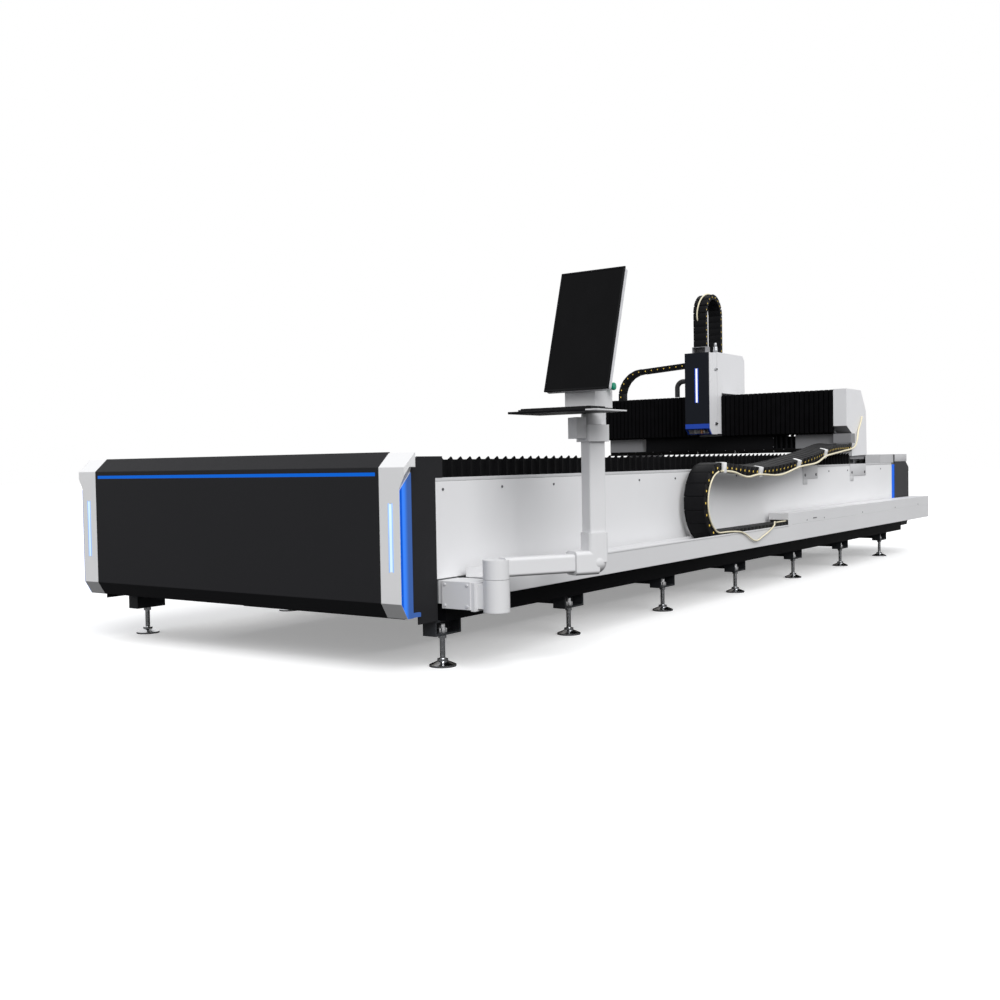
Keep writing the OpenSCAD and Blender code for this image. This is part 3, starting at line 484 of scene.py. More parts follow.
@dataclass(frozen=True)
class GlowBand(Glow):
    """Lit recess whose blue changes with the distance behind the machine's near face."""

    edge: Colour = (0.0, 0.075, 0.60)
    heart: Colour = (0.048, 0.235, 0.94)
    back: Colour = (0.050, 0.115, 0.34)
    far: Colour = (0.0, 0.12, 0.74)
    bands: tuple[float, float, float] = (0.005, 0.016, 0.050)
    far_start: float = 1.0

    def dress(self, graph: Graph) -> dict[str, Any]:
        """Emission that runs through the edge, heart and back colours.

        Args:
            graph: Tree that the nodes go into.

        Returns:
            Value or wire of each socket, by name.
        """
        place = graph.place()
        along = graph.add("ShaderNodeSeparateXYZ", None, {"Vector": place}, "Y") - MACHINE.near
        first, middle, last = self.bands
        colour: Any = (*self.colour, 1.0)
        for share, tone in ((along > first / 2, self.edge),
                            (self._step(graph, along, first, middle), self.heart),
                            (self._step(graph, along, middle * 1.3, last), self.back),
                            (along > self.far_start, self.far)):
            colour = graph.mix(share, colour, (*tone, 1.0))
        dips = graph.noise(self.dip_scale, 2.0)
        return {"Base Color": self.shade(0.1), "Emission Strength": self.light,
                "Emission Color": colour, "Roughness": self.uneven(dips, 0.1, 0.05)}

    @staticmethod
    def _step(graph: Graph, value: Wire, low: float, high: float) -> Wire:
        """Soft step between two values."""
        return graph.add("ShaderNodeMapRange", {"interpolation_type": "SMOOTHSTEP"},
                         {"Value": value, "From Min": low, "From Max": high})


@dataclass(frozen=True)
class ScreenPanel(Finish):
    """Dark switched-off screen with faint finger smears."""

    smear_scale: float = 11.0

    def dress(self, graph: Graph) -> dict[str, Any]:
        """Smears that dull the gloss.

        Args:
            graph: Tree that the nodes go into.

        Returns:
            Value or wire of each socket, by name.
        """
        smears = graph.noise(self.smear_scale, 5.0, graph.place((1.0, 1.0, 0.5)))
        return {"Base Color": graph.mix(smears, self.shade(0.8), self.shade(1.3)),
                "Roughness": smears.power(2.0) * 0.3 + self.roughness}


class Paint(Enum):
    """Finishes used on this machine."""

    WHITE = PowderCoat("white_coat", (0.80, 0.80, 0.81), 0.42, 0.35)
    TRIM_WHITE = PowderCoat("trim_coat", (0.79, 0.79, 0.805), 0.4, 0.35)
    NEAR_TRIM = PowderCoat("near_trim_coat", (0.82, 0.82, 0.825), 0.4, 0.35)
    TRAY_WHITE = PowderCoat("tray_coat", (0.70, 0.70, 0.71), 0.45, 0.35)
    CONSOLE_GREY = PowderCoat("console_coat", (0.72, 0.72, 0.73), 0.42, 0.35)
    TRACK_GREY = PowderCoat("track_grey_coat", (0.58, 0.58, 0.59), 0.45, 0.35, 0.8, 0.15)
    NEAR_BLACK = PowderCoat("near_black_coat", (0.0235, 0.0235, 0.0255), 0.45, 0.04, 1.6)
    HEAD_BLACK = PowderCoat("head_black_coat", (0.0130, 0.0150, 0.0200), 0.4, 0.06, 1.6)
    TUBE_BLACK = PowderCoat("tube_black_coat", (0.004, 0.004, 0.005), 0.45, 0.03, 1.5)
    FRAME_GREY = PowderCoat("frame_grey_coat", (0.11, 0.115, 0.12), 0.5, 0.25)
    FAR_GREY = PowderCoat("far_grey_coat", (0.034, 0.034, 0.037), 0.45, 0.06, 1.3)
    BRACKET_GREY = PowderCoat("bracket_grey_coat", (0.030, 0.032, 0.036), 0.45, 0.2, 2.6)
    BEAM_GREY = PowderCoat("beam_grey_coat", (0.27, 0.275, 0.285), 0.48, 0.3)
    SADDLE_GREY = PowderCoat("saddle_grey_coat", (0.24, 0.24, 0.25), 0.48, 0.3)
    APRON_BLACK = PowderCoat("apron_black_coat", (0.006, 0.006, 0.007), 0.5, 0.06, 1.6)
    LIP_BLUE = PowderCoat("lip_blue_coat", (0.010, 0.060, 0.44), 0.35, 0.3)
    WAY_PLATE = PowderCoat("way_plate_coat", (0.52, 0.52, 0.53), 0.42, 0.35)
    GROUND_STEEL = Metal("ground_steel", (0.62, 0.63, 0.65), 0.28, 0.5, (160.0, 3.0, 160.0))
    MILL_STEEL = Metal("mill_steel", (0.36, 0.34, 0.32), 0.5, 0.5, (3.0, 160.0, 90.0), 0.9)
    PLATED = Metal("plated_steel", (0.68, 0.69, 0.71), 0.16, 0.5, (60.0, 60.0, 220.0))
    ZINC = Metal("zinc_screw", (0.55, 0.56, 0.58), 0.35, 0.5, (120.0, 120.0, 120.0))
    ALUMINIUM = Metal("machined_aluminium", (0.55, 0.56, 0.58), 0.36, 0.5, (90.0, 90.0, 6.0))
    COPPER = Metal("turned_copper", (0.62, 0.33, 0.16), 0.25, 0.5, (20.0, 20.0, 300.0))
    BELLOWS = CoatedCloth("bellows_cloth", (0.0045, 0.0045, 0.0050), 0.6, 0.04)
    BEAM_CLOTH = CoatedCloth("beam_cloth", (0.0030, 0.0029, 0.0034), 0.6, 0.03)
    CHAIN = MouldedPlastic("chain_plastic", (0.0065, 0.0065, 0.0074), 0.5, 0.08)
    CHAIN_SIDE = MouldedPlastic("chain_side_plastic", (0.0060, 0.0060, 0.0068), 0.5, 0.08)
    DOT = MouldedPlastic("chain_pin_yellow", (0.95, 0.60, 0.10), 0.45, 0.3)
    TIE = MouldedPlastic("white_tie", (0.80, 0.80, 0.80), 0.4, 0.4)
    MOTOR = PowderCoat("motor_black", (0.016, 0.016, 0.018), 0.5, 0.2, 1.5)
    KEYS = MouldedPlastic("key_plastic", (0.010, 0.010, 0.011), 0.55, 0.15)
    SHELL = MouldedPlastic("monitor_plastic", (0.62, 0.62, 0.64), 0.4, 0.4)
    BEZEL = MouldedPlastic("bezel_plastic", (0.006, 0.006, 0.007), 0.4, 0.08)
    BUTTON = MouldedPlastic("green_button", (0.006, 0.26, 0.15), 0.3, 0.4)
    BRIGHT_ZINC = Metal("bright_zinc_nut", (0.86, 0.86, 0.87), 0.4, 0.5, (120.0, 120.0, 120.0), 0.6)
    SCREW_DARK = Metal("dark_screw", (0.16, 0.16, 0.17), 0.4, 0.5, (120.0, 120.0, 120.0))
    HOSE = Ribbed("cream_hose", (0.86, 0.79, 0.58), 0.42, 0.4, "Y", 60.0, 0.0006)
    CONDUIT = Ribbed("corrugated_conduit", (0.05, 0.05, 0.053), 0.5, 0.2, "Z", 26.0, 0.004)
    GLASS = ScreenPanel("screen_panel", (0.0045, 0.0045, 0.0050), 0.16, 0.05)
    BLUE_LIGHT = GlowBand("blue_light", (0.0030, 0.115, 0.60), 0.4, 0.05, 1.0)
    WHITE_LIGHT = Glow("white_light", (0.62, 0.82, 1.0), 0.3, 0.3, 0.85)
    HEAD_LIGHT = Glow("head_light_core", (0.93, 0.97, 1.0), 0.3, 0.3, 1.0)
    HALO = Glow("blue_halo", (0.008, 0.050, 0.42), 0.4, 0.3, 0.9)
    SOFT_HALO = Glow("pale_halo", (0.30, 0.50, 0.95), 0.4, 0.3, 0.8)
    SLOT_BLACK = MouldedPlastic("slot_black", (0.003, 0.003, 0.003), 0.7, 0.05)


NODE_PAINT: dict[Paint, tuple[str, ...]] = {
    Paint.FRAME_GREY: ("bed_frame", "slat_combs"),
    Paint.TUBE_BLACK: ("lower_tubes",),
    Paint.BRACKET_GREY: ("foot_brackets",),
    Paint.PLATED: ("feet",),
    Paint.WHITE: ("side_panels",),
    Paint.SCREW_DARK: ("panel_screws",),
    Paint.NEAR_BLACK: ("near_cover", "near_cheeks"),
    Paint.NEAR_TRIM: ("near_trims",),
    Paint.BLUE_LIGHT: ("glow_strips",),
    Paint.WHITE_LIGHT: ("light_bars",),
    Paint.FAR_GREY: ("far_cover", "scrap_trays"),
    Paint.WAY_PLATE: ("way_covers",),
    Paint.GROUND_STEEL: ("bed_rails", "way_blocks", "beam_rails", "carriage_blocks", "lift_guide"),
    Paint.MILL_STEEL: ("slats",),
    Paint.TRAY_WHITE: ("chain_tray", "tray_lid"),
    Paint.CONSOLE_GREY: ("console_box", "console_post", "console_arm", "console_column",
                         "console_deck"),
    Paint.BEAM_GREY: ("gantry_beam", "chain_shelf"),
    Paint.APRON_BLACK: ("beam_apron",),
    Paint.SADDLE_GREY: ("saddles", "chain_foot"),
    Paint.MOTOR: ("gantry_drives",),
    Paint.TRIM_WHITE: ("end_covers", "carriage_plate", "carriage_body", "head_shell"),
    Paint.CONDUIT: ("head_conduit",),
    Paint.HEAD_BLACK: ("head_front",),
    Paint.HEAD_LIGHT: ("head_light",),
    Paint.LIP_BLUE: ("head_chin",),
    Paint.ALUMINIUM: ("lift_plate", "cutting_head"),
    Paint.COPPER: ("nozzle",),
    Paint.KEYS: ("keyboard",),
    Paint.SHELL: ("monitor_shell",),
    Paint.GLASS: ("monitor_screen",),
    Paint.BUTTON: ("start_button",),
}


def paint_nodes() -> None:
    """Gives every solid that stays in view its finish."""
    for paint, names in NODE_PAINT.items():
        for name in names:
            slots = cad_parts[name].data.materials
            slots.clear()
            slots.append(paint.value.material())
            LOG.info("finish %s on %s", paint.value.name, name)


def show(name: str, data: Any) -> bpy.types.Object:
    """Makes an object and puts it in the scene.

    Args:
        name: Its name.
        data: Its mesh, curve, lamp or camera.

    Returns:
        The object.
    """
    made = bpy.data.objects.new(name, data)
    bpy.context.scene.collection.objects.link(made)
    return made


@dataclass
class Mould:
    """A new piece while it is shaped, with the finishes that its faces carry."""

    name: str
    paints: Sequence[Paint]
    bm: bmesh.types.BMesh = field(default_factory=bmesh.new)

    def take(self, part: bmesh.types.BMesh, place: Matrix, paint: int = 0) -> None:
        """Moves a finished shape into the piece.

        Args:
            part: The shape, which is freed.
            place: Where it goes.
            paint: Number of its finish, or a negative number to keep its own.
        """
        if paint >= 0:
            for face in part.faces:
                face.material_index = paint
        bmesh.ops.transform(part, matrix=place, verts=part.verts)
        bridge = bpy.data.meshes.new("bridge")
        part.to_mesh(bridge)
        part.free()
        self.bm.from_mesh(bridge)
        bpy.data.meshes.remove(bridge)

    def block(self, low: Vector, high: Vector, round_off: float = 0.0, paint: int = 0,
              turn: Matrix | None = None) -> None:
        """Adds a box with rounded edges.

        Args:
            low: Lowest corner, before any turn.
            high: Highest corner.
            round_off: Radius of the edges in metres.
            paint: Number of its finish.
            turn: Turn about the box's own centre.
        """
        part = bmesh.new()
        size = high - low
        bmesh.ops.create_cube(part, size=1.0, matrix=Matrix.Diagonal((*size, 1.0)))
        if round_off > 0:
            soften(part, round_off)
        self.take(part, Matrix.Translation((low + high) / 2) @ (turn or Matrix.Identity(4)), paint)

    def rod(self, start: Vector, end: Vector, radius: float, sides: int = 20, paint: int = 0,
            round_off: float = 0.0) -> None:
        """Adds a round bar, disc or bolt head.

        Args:
            start: Centre of its first end.
            end: Centre of its other end.
            radius: Radius in metres.
            sides: Number of flats round it.
            paint: Number of its finish.
            round_off: Radius of its end edges.
        """
        part = bmesh.new()
        length = (end - start).length
        bmesh.ops.create_cone(part, cap_ends=True, segments=sides, radius1=radius, radius2=radius,
                              depth=length)
        if round_off > 0:
            level = length * 0.01
            rims = [e for e in part.edges if abs(e.verts[0].co.z - e.verts[1].co.z) < level]
            soften(part, round_off, rims)
        turn = (end - start).to_track_quat("Z", "Y").to_matrix().to_4x4()
        self.take(part, Matrix.Translation((start + end) / 2) @ turn, paint)

    def settle(self, body: Body | None, sharp: float = 35.0) -> bpy.types.Object:
        """Ends the shaping and makes the object.

        Args:
            body: Body that it rides on, or nothing.
            sharp: Angle in degrees above which an edge stays sharp.

        Returns:
            The object.
        """
        bmesh.ops.recalc_face_normals(self.bm, faces=self.bm.faces)
        for face in self.bm.faces:
            face.smooth = True
        mesh = bpy.data.meshes.new(self.name)
        self.bm.to_mesh(mesh)
        self.bm.free()
        for paint in self.paints:
            mesh.materials.append(paint.value.material())
        mesh.set_sharp_from_angle(angle=math.radians(sharp))
        piece = show(self.name, mesh)
        if body is not None:
            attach(piece, body.value)
        LOG.info("piece %s", self.name)
        return piece


def soften(part: bmesh.types.BMesh, radius: float,
           edges: Sequence[bmesh.types.BMEdge] | None = None) -> None:
    """Rounds edges of a shape.

    Args:
        part: The shape.
        radius: Radius in metres.
        edges: The edges, or all of them if left out.
    """
    bmesh.ops.bevel(part, geom=edges or part.edges[:], offset=radius, offset_type="OFFSET",
                    segments=2, profile=0.5, affect="EDGES", material=-1)


def stretch(piece: bpy.types.Object, axis: Axis,
            span: tuple[float, float], part: tuple[float, float]) -> None:
    """Works out one stretch's share of a slide's travel, then bakes the stretch's placement.

    Args:
        piece: The stretch.
        axis: Direction of the slide.
        span: Coordinates of the run's start and end.
        part: Coordinates where this stretch starts and ends.
    """
    shares = [min(1.0, max(0.0, (v - span[0]) / (span[1] - span[0]))) for v in part]
    steps = [0.5 - math.sin(math.asin(1 - 2 * s) / 3) for s in shares]
    unit = (part[1] - part[0]) / (steps[1] - steps[0])
    start = part[0] - steps[0] * unit
    axis.value * start
    axis.value * (start + unit)
    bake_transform(piece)


@dataclass
class PhotoCamera:
    """Camera that stands where the photograph was taken."""

    yaw: float = 35.2292
    pitch: float = -1.8801
    roll: float = -0.9892
    focal_px: float = 1137.4
    image_px: float = 1000.0
    sensor_mm: float = 36.0
    stand: tuple[float, float, float] = (4093.0, -3566.0, 887.6)

    def build(self) -> None:
        """Makes the camera and sets it as the scene's."""
        lens = bpy.data.cameras.new("photo_camera")
        lens.sensor_width = self.sensor_mm
        lens.lens = self.focal_px * self.sensor_mm / self.image_px
        lens.clip_end = 200.0
        camera = show("photo_camera", lens)
        turn = (Matrix.Rotation(math.radians(self.yaw), 4, "Z")
                @ Matrix.Rotation(math.radians(90 + self.pitch), 4, "X")
                @ Matrix.Rotation(math.radians(self.roll), 4, "Z"))
        camera.matrix_world = Matrix.Translation(MACHINE.at(*self.stand)) @ turn
        bpy.context.scene.camera = camera


@dataclass
class Studio:
    """Pale floor, white surround and soft light."""

    floor_half: float = 60.0
    floor_grey: float = 0.88
    floor_lift: float = 0.30
    bounce_grey: float = 0.12
    fill: float = 0.70
    fill_tint: Colour = (0.97, 0.98, 1.0)
    key: float = 2.20
    key_angle: float = 45.0
    key_from: tuple[float, float, float] = (0.62, -0.45, 0.64)

    def build(self) -> None:
        """Makes the surround, the floor and the lamp."""
        bpy.context.scene.view_settings.view_transform = "Standard"
        self._surround()
        self._floor()
        self._lamp()

    def _surround(self) -> None:
        """White where it is seen or mirrored, softer as a light."""
        world = bpy.data.worlds.new("surround")
        world.use_nodes = True
        bpy.context.scene.world = world
        graph = Graph(world.node_tree)
        seen = self._seen(graph)
        fill = graph.add("ShaderNodeBackground", None,
                         {"Color": (*self.fill_tint, 1.0), "Strength": self.fill})
        white = graph.add("ShaderNodeBackground", None, {"Color": WHITE, "Strength": 1.0})
        both = graph.add("ShaderNodeMixShader", None, {0: seen, 1: fill, 2: white})
        end = graph.tree.nodes.new("ShaderNodeOutputWorld")
        graph.tree.links.new(both.socket, end.inputs["Surface"])

    @staticmethod
    def _seen(graph: Graph) -> Wire:
        """Tells rays that show the surround: straight, mirrored or through glass.

        Args:
            graph: Tree of the surround.

        Returns:
            One for those rays, else zero.
        """
        camera = graph.add("ShaderNodeLightPath", output="Is Camera Ray")
        mirrored = graph.add("ShaderNodeLightPath", output="Is Glossy Ray")
        through = graph.add("ShaderNodeLightPath", output="Is Transmission Ray")
        return camera.larger(mirrored).larger(through)

    def _floor(self) -> None:
        """Pale floor that keeps the machine's shadow and throws little light back up."""
        bm = bmesh.new()
        bmesh.ops.create_grid(bm, x_segments=1, y_segments=1, size=self.floor_half)
        mesh = bpy.data.meshes.new("studio_floor")
        bm.to_mesh(mesh)
        bm.free()
        paint = bpy.data.materials.new("studio_floor")
        paint.use_nodes = True
        graph = Graph(paint.node_tree)
        grain = graph.noise(0.6, 2.0)
        pale = (self.floor_grey,) * 3 + (1.0,)
        paler = (self.floor_grey * 1.02,) * 3 + (1.0,)
        matt = graph.add("ShaderNodeBsdfDiffuse", None, {"Color": graph.mix(grain, pale, paler)})
        lift = graph.add("ShaderNodeEmission", None, {"Color": WHITE, "Strength": self.floor_lift})
        shown = graph.add("ShaderNodeAddShader", None, {0: matt, 1: lift})
        dull = graph.add("ShaderNodeBsdfDiffuse", None, {"Color": (self.bounce_grey,) * 3 + (1.0,)})
        camera = graph.add("ShaderNodeLightPath", output="Is Camera Ray")
        Finish.close(graph, graph.add("ShaderNodeMixShader", None, {0: camera, 1: dull, 2: shown}))
        mesh.materials.append(paint)
        show("studio_floor", mesh)

    def _lamp(self) -> None:
        """One wide soft lamp from the right and above."""
        lamp = bpy.data.lights.new("soft_key", "SUN")
        lamp.energy = self.key
        lamp.angle = math.radians(self.key_angle)
        key = show("soft_key", lamp)
        key.rotation_mode = "QUATERNION"
        key.rotation_quaternion = Vector(self.key_from).to_track_quat("Z", "Y")


@dataclass
class Bellows:
    """Pleated cover that folds along a slide, made in stretches."""

    name: str
    node: str
    still: Body
    moving: Body
    axis: Axis
    pleats: int
    stretches: int
    depth: float = 14.0 * MM
    chamfer: float = 10.0 * MM
    cloth: float = 2.0 * MM
    cloth_paint: Paint = Paint.BELLOWS

    def stations(self) -> list[tuple[float, float]]:
        """Places along one pleat and how far out each one stands.

        Returns:
            Share of the pleat's length, and share of the pleat's depth.
        """
        return [(0.0, 0.0), (0.16, 0.9), (0.5, 1.0), (0.84, 0.9)]

    def outline(self) -> tuple[list[Vector], Vector, Vector]:
        """Section of the cover; each kind of cover has its own.

        Returns:
            Points of the section, the point it shrinks towards, and the shrunk size at a valley.
        """
        raise NotImplementedError

    def ends(self) -> tuple[float, float]:
        """Coordinates along the slide of the still end and the moving end."""
        raise NotImplementedError

    def build(self) -> None:
        """Makes the stretches and bakes the placement of each."""
        first, last = self.ends()
        per = self.pleats // self.stretches
        pitch = (last - first) / (per * self.stretches)
        for index in range(self.stretches):
            start = first + index * per * pitch
            end = start + per * pitch
            piece = self._stretch_piece(f"{self.name}_{index + 1}", start, pitch, per)
            stretch(piece, self.axis, (first, last), (start, end))
            if index == 0:
                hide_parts(self.node)

    def _stretch_piece(self, name: str, start: float, pitch: float, count: int) -> bpy.types.Object:
        """Draws the section along a number of pleats.

        Args:
            name: Name of the piece.
            start: Where the stretch starts.
            pitch: Length of one pleat, negative if the run goes backwards.
            count: Number of pleats.

        Returns:
            The piece, riding on nothing yet.
        """
        points, heart, valley = self.outline()
        mould = Mould(name, [self.cloth_paint])
        bm = mould.bm
        corners = [bm.verts.new(p) for p in points]
        edges = [bm.edges.new(pair) for pair in zip(corners, corners[1:])]
        steps = [((i + share) * pitch, out) for i in range(count) for share, out in self.stations()]
        steps.append((count * pitch, 0.0))
        held = Matrix.Identity(4)
        for number, (shift, out) in enumerate(steps):
            pose = self._pose(start + shift, out, heart, valley)
            if number:
                grown = bmesh.ops.extrude_edge_only(bm, edges=edges)["geom"]
                corners = [g for g in grown if isinstance(g, bmesh.types.BMVert)]
                edges = [g for g in grown if isinstance(g, bmesh.types.BMEdge)]
            bmesh.ops.transform(bm, matrix=pose @ held.inverted(), verts=corners)
            held = pose
        bmesh.ops.recalc_face_normals(bm, faces=bm.faces)
        bmesh.ops.solidify(bm, geom=bm.faces[:], thickness=self.cloth)
        return mould.settle(None, 20.0)

    def _pose(self, along: float, out: float, heart: Vector, valley: Vector) -> Matrix:
        """Placement of the section at one station.

        Args:
            along: Coordinate along the slide.
            out: Share of the pleat's depth.
            heart: Point that the section shrinks towards.
            valley: Size of the section at a valley.

        Returns:
            The placement.
        """
        scale = Matrix.Diagonal((*(v + (1 - v) * out for v in valley), 1.0))
        shift = Matrix.Translation(self.axis.value * along)
        middle = Matrix.Translation(heart)
        return shift @ middle @ scale @ middle.inverted()


@dataclass
class WayBellows(Bellows):
    """Roof-shaped cover over one guide way, with pointed fold tips along its outer top edge."""

    right: bool = True
    fall: float = 14.0 * MM
    ear: float = 18.0 * MM
    tip: float = 4.0 * MM

    def stations(self) -> list[tuple[float, float]]:
        """Pleats with a steep near side and a long slope behind, as the real cover leans."""
        return [(0.0, 0.0), (0.10, 1.0), (0.16, 0.96), (0.50, 0.15), (0.80, 0.0)]

    def ends(self) -> tuple[float, float]:
        """Coordinates of the still end and the moving end."""
        low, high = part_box(self.node)
        return (low.y, high.y) if self.node == "front_bellows" else (high.y, low.y)

    def outline(self) -> tuple[list[Vector], Vector, Vector]:
        """Roof section: two sides and a top with a chamfer and a raised tip.

        Returns:
            Points, shrinking point and valley size, as for every cover.
        """
        low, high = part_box(self.node)
        width = high.x - MACHINE.left - self._inner()
        side = 1 if self.right else -1
        middle = MACHINE.left + side * (self._inner() + width / 2)
        half, c = width / 2, self.chamfer
        top = high.z - self.fall
        section = ((-half, low.z), (-half, top - c), (c - half, top), (half - self.ear, top),
                   (half - self.tip, high.z - 1 * MM), (half, high.z - 3 * MM), (half, low.z))
        height = high.z - low.z
        valley = Vector(((width - 2 * self.depth) / width, 1.0, (height - self.fall) / height))
        points = [Vector((middle + side * x, 0.0, z)) for x, z in section]
        return points, Vector((middle, 0.0, low.z)), valley

    @staticmethod
    def _inner() -> float:
        """Distance of the cover's inner side from the centre line, as the way plates have."""
        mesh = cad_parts["way_covers"].data
        return min(abs(v.co.x - MACHINE.left) for v in mesh.vertices)


@dataclass
class BeamBellows(Bellows):
    """Cover on the front of the gantry beam, with short returns over its top and bottom."""

    left: bool = True

    def ends(self) -> tuple[float, float]:
        """Coordinates of the still end and the moving end."""
        low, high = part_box(self.node)
        return (low.x, high.x) if self.left else (high.x, low.x)

    def outline(self) -> tuple[list[Vector], Vector, Vector]:
        """Channel section, open towards the beam.

        Returns:
            Points, shrinking point and valley size, as for every cover.
        """
        low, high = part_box(self.node)
        c = self.chamfer
        section = ((high.y, low.z), (low.y + c, low.z), (low.y, low.z + c),
                   (low.y, high.z - c), (low.y + c, high.z), (high.y, high.z))
        heart = Vector((0.0, high.y, (low.z + high.z) / 2))
        thick, height = high.y - low.y, high.z - low.z
        valley = Vector((1.0, (thick - self.depth) / thick, (height - self.depth) / height))
        return [Vector((0.0, y, z)) for y, z in section], heart, valley


@dataclass
class Chain:
    """Cable chain set out link by link, with its loop and runs in millimetres."""

    width: float
    thick: float
    pin: float = 7.0 * MM
    plate: float = 7.0 * MM
    radius: float = 200.0
    loop_links: int = 8
    link_pitch: float = 60.0
    lower: float = 1000.0
    lap: float = 4.0
    paints: tuple[Paint, ...] = (Paint.CHAIN, Paint.CHAIN_SIDE, Paint.DOT)

    @property
    def middle(self) -> float:
        """Radius to the middle of the links, in millimetres."""
        return self.radius - self.thick / MM / 2

    def _link(self, pitch: float) -> bpy.types.Mesh:
        """One link, length along Y, with rounded side plates and a yellow pin on each side.

        Args:
            pitch: Length of the link in metres.

        Returns:
            A mesh to be set out along the chain.
        """
        mould = Mould("link_template", self.paints)
        half = Vector((self.width / 2, pitch * 0.47, self.thick / 2))
        inner = half.x - self.plate
        for side in (-1, 1):
            x0, x1 = sorted((side * inner, side * half.x))
            mould.block(Vector((x0, -half.y, -half.z)), Vector((x1, half.y, half.z)), 2.0 * MM, 1)
            start = Vector((side * (half.x - 1.0 * MM), 0, 0))
            mould.rod(start, start + mm(side * 1.6, 0, 0), self.pin, 12, 2)
        bar = Vector((inner, pitch * 0.485, half.z - 1.0 * MM))
        mould.block(-bar, bar, 1.6 * MM)
        neck = Vector((inner - 1.0 * MM, pitch * 0.56, half.z - 9.0 * MM))
        mould.block(-neck, neck)
        mesh = bpy.data.meshes.new("link_template")
        mould.bm.to_mesh(mesh)
        mould.bm.free()
        return mesh

    def piece(self, name: str, places: Sequence[Matrix], pitch: float, body: Body | None,
              slot: str) -> bpy.types.Object:
        """Sets links out.

        Args:
            name: Name of the piece.
            places: Placement of each link.
            pitch: Length of a link in metres.
            body: Body that it rides on, or nothing.
            slot: The record's slot of its finish; not used.

        Returns:
            The piece.
        """
        template = self._link(pitch)
        mould = Mould(name, self.paints)
        for place in places:
            part = bmesh.new()
            part.from_mesh(template)
            mould.take(part, place, -1)
        bpy.data.meshes.remove(template)
        return mould.settle(body)

    def loop_and_lower(self, name: str, body: Body, centre: Vector, turn: Matrix) -> None:
        """Makes the half loop and the straight run below it, which stand for one solid.

        Args:
            name: Start of the solid's name and of the pieces' names.
            body: Body that they ride on.
            centre: Centre of the loop.
            turn: Turn that lays +Y along the run.
        """
        mid, pitch = self.middle * MM, self.link_pitch * MM
        bent = self.ring(centre, mid, self.loop_links, turn)
        start = centre + turn @ Vector((0, -self.lap * MM, -mid))
        straight = self.row(start, self.lower * MM, pitch, turn)
        round_pitch = self.radius * MM * math.pi / self.loop_links
        for part, places, step in (("loop", bent, round_pitch), ("lower", straight, pitch)):
            piece = self.piece(f"{name}_links_{part}", places, step, body, f"{name}_loop")
            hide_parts(f"{name}_loop")

    @staticmethod
    def ring(centre: Vector, radius: float, count: int, turn: Matrix) -> list[Matrix]:
        """Placements round a half loop that is open towards its own +Y.

        Args:
            centre: Centre of the loop.
            radius: Radius to the middle of the links.
            count: Number of links.
            turn: Turn of the whole loop.

        Returns:
            The placements.
        """
        found = []
        for index in range(count):
            angle = math.pi / 2 + (index + 0.5) * math.pi / count
            spot = Matrix.Translation((0, radius * math.cos(angle), radius * math.sin(angle)))
            lean = Matrix.Rotation(angle - math.pi / 2, 4, "X")
            found.append(Matrix.Translation(centre) @ turn @ spot @ lean)
        return found

    @staticmethod
    def row(start: Vector, length: float, pitch: float, turn: Matrix) -> list[Matrix]:
        """Placements along a straight run.

        Args:
            start: First end of the run.
            length: Length of the run.
            pitch: Wanted length of a link.
            turn: Turn that lays +Y along the run.

        Returns:
            The placements.
        """
        count = max(1, round(length / pitch))
        step = length / count
        return [Matrix.Translation(start) @ turn @ Matrix.Translation((0, (i + 0.5) * step, 0))
                for i in range(count)]


def ease(t: float) -> float:
    """Eased step from 0 to 1."""
    u = min(1.0, max(0.0, t))
    return u * u * (3 - 2 * u)


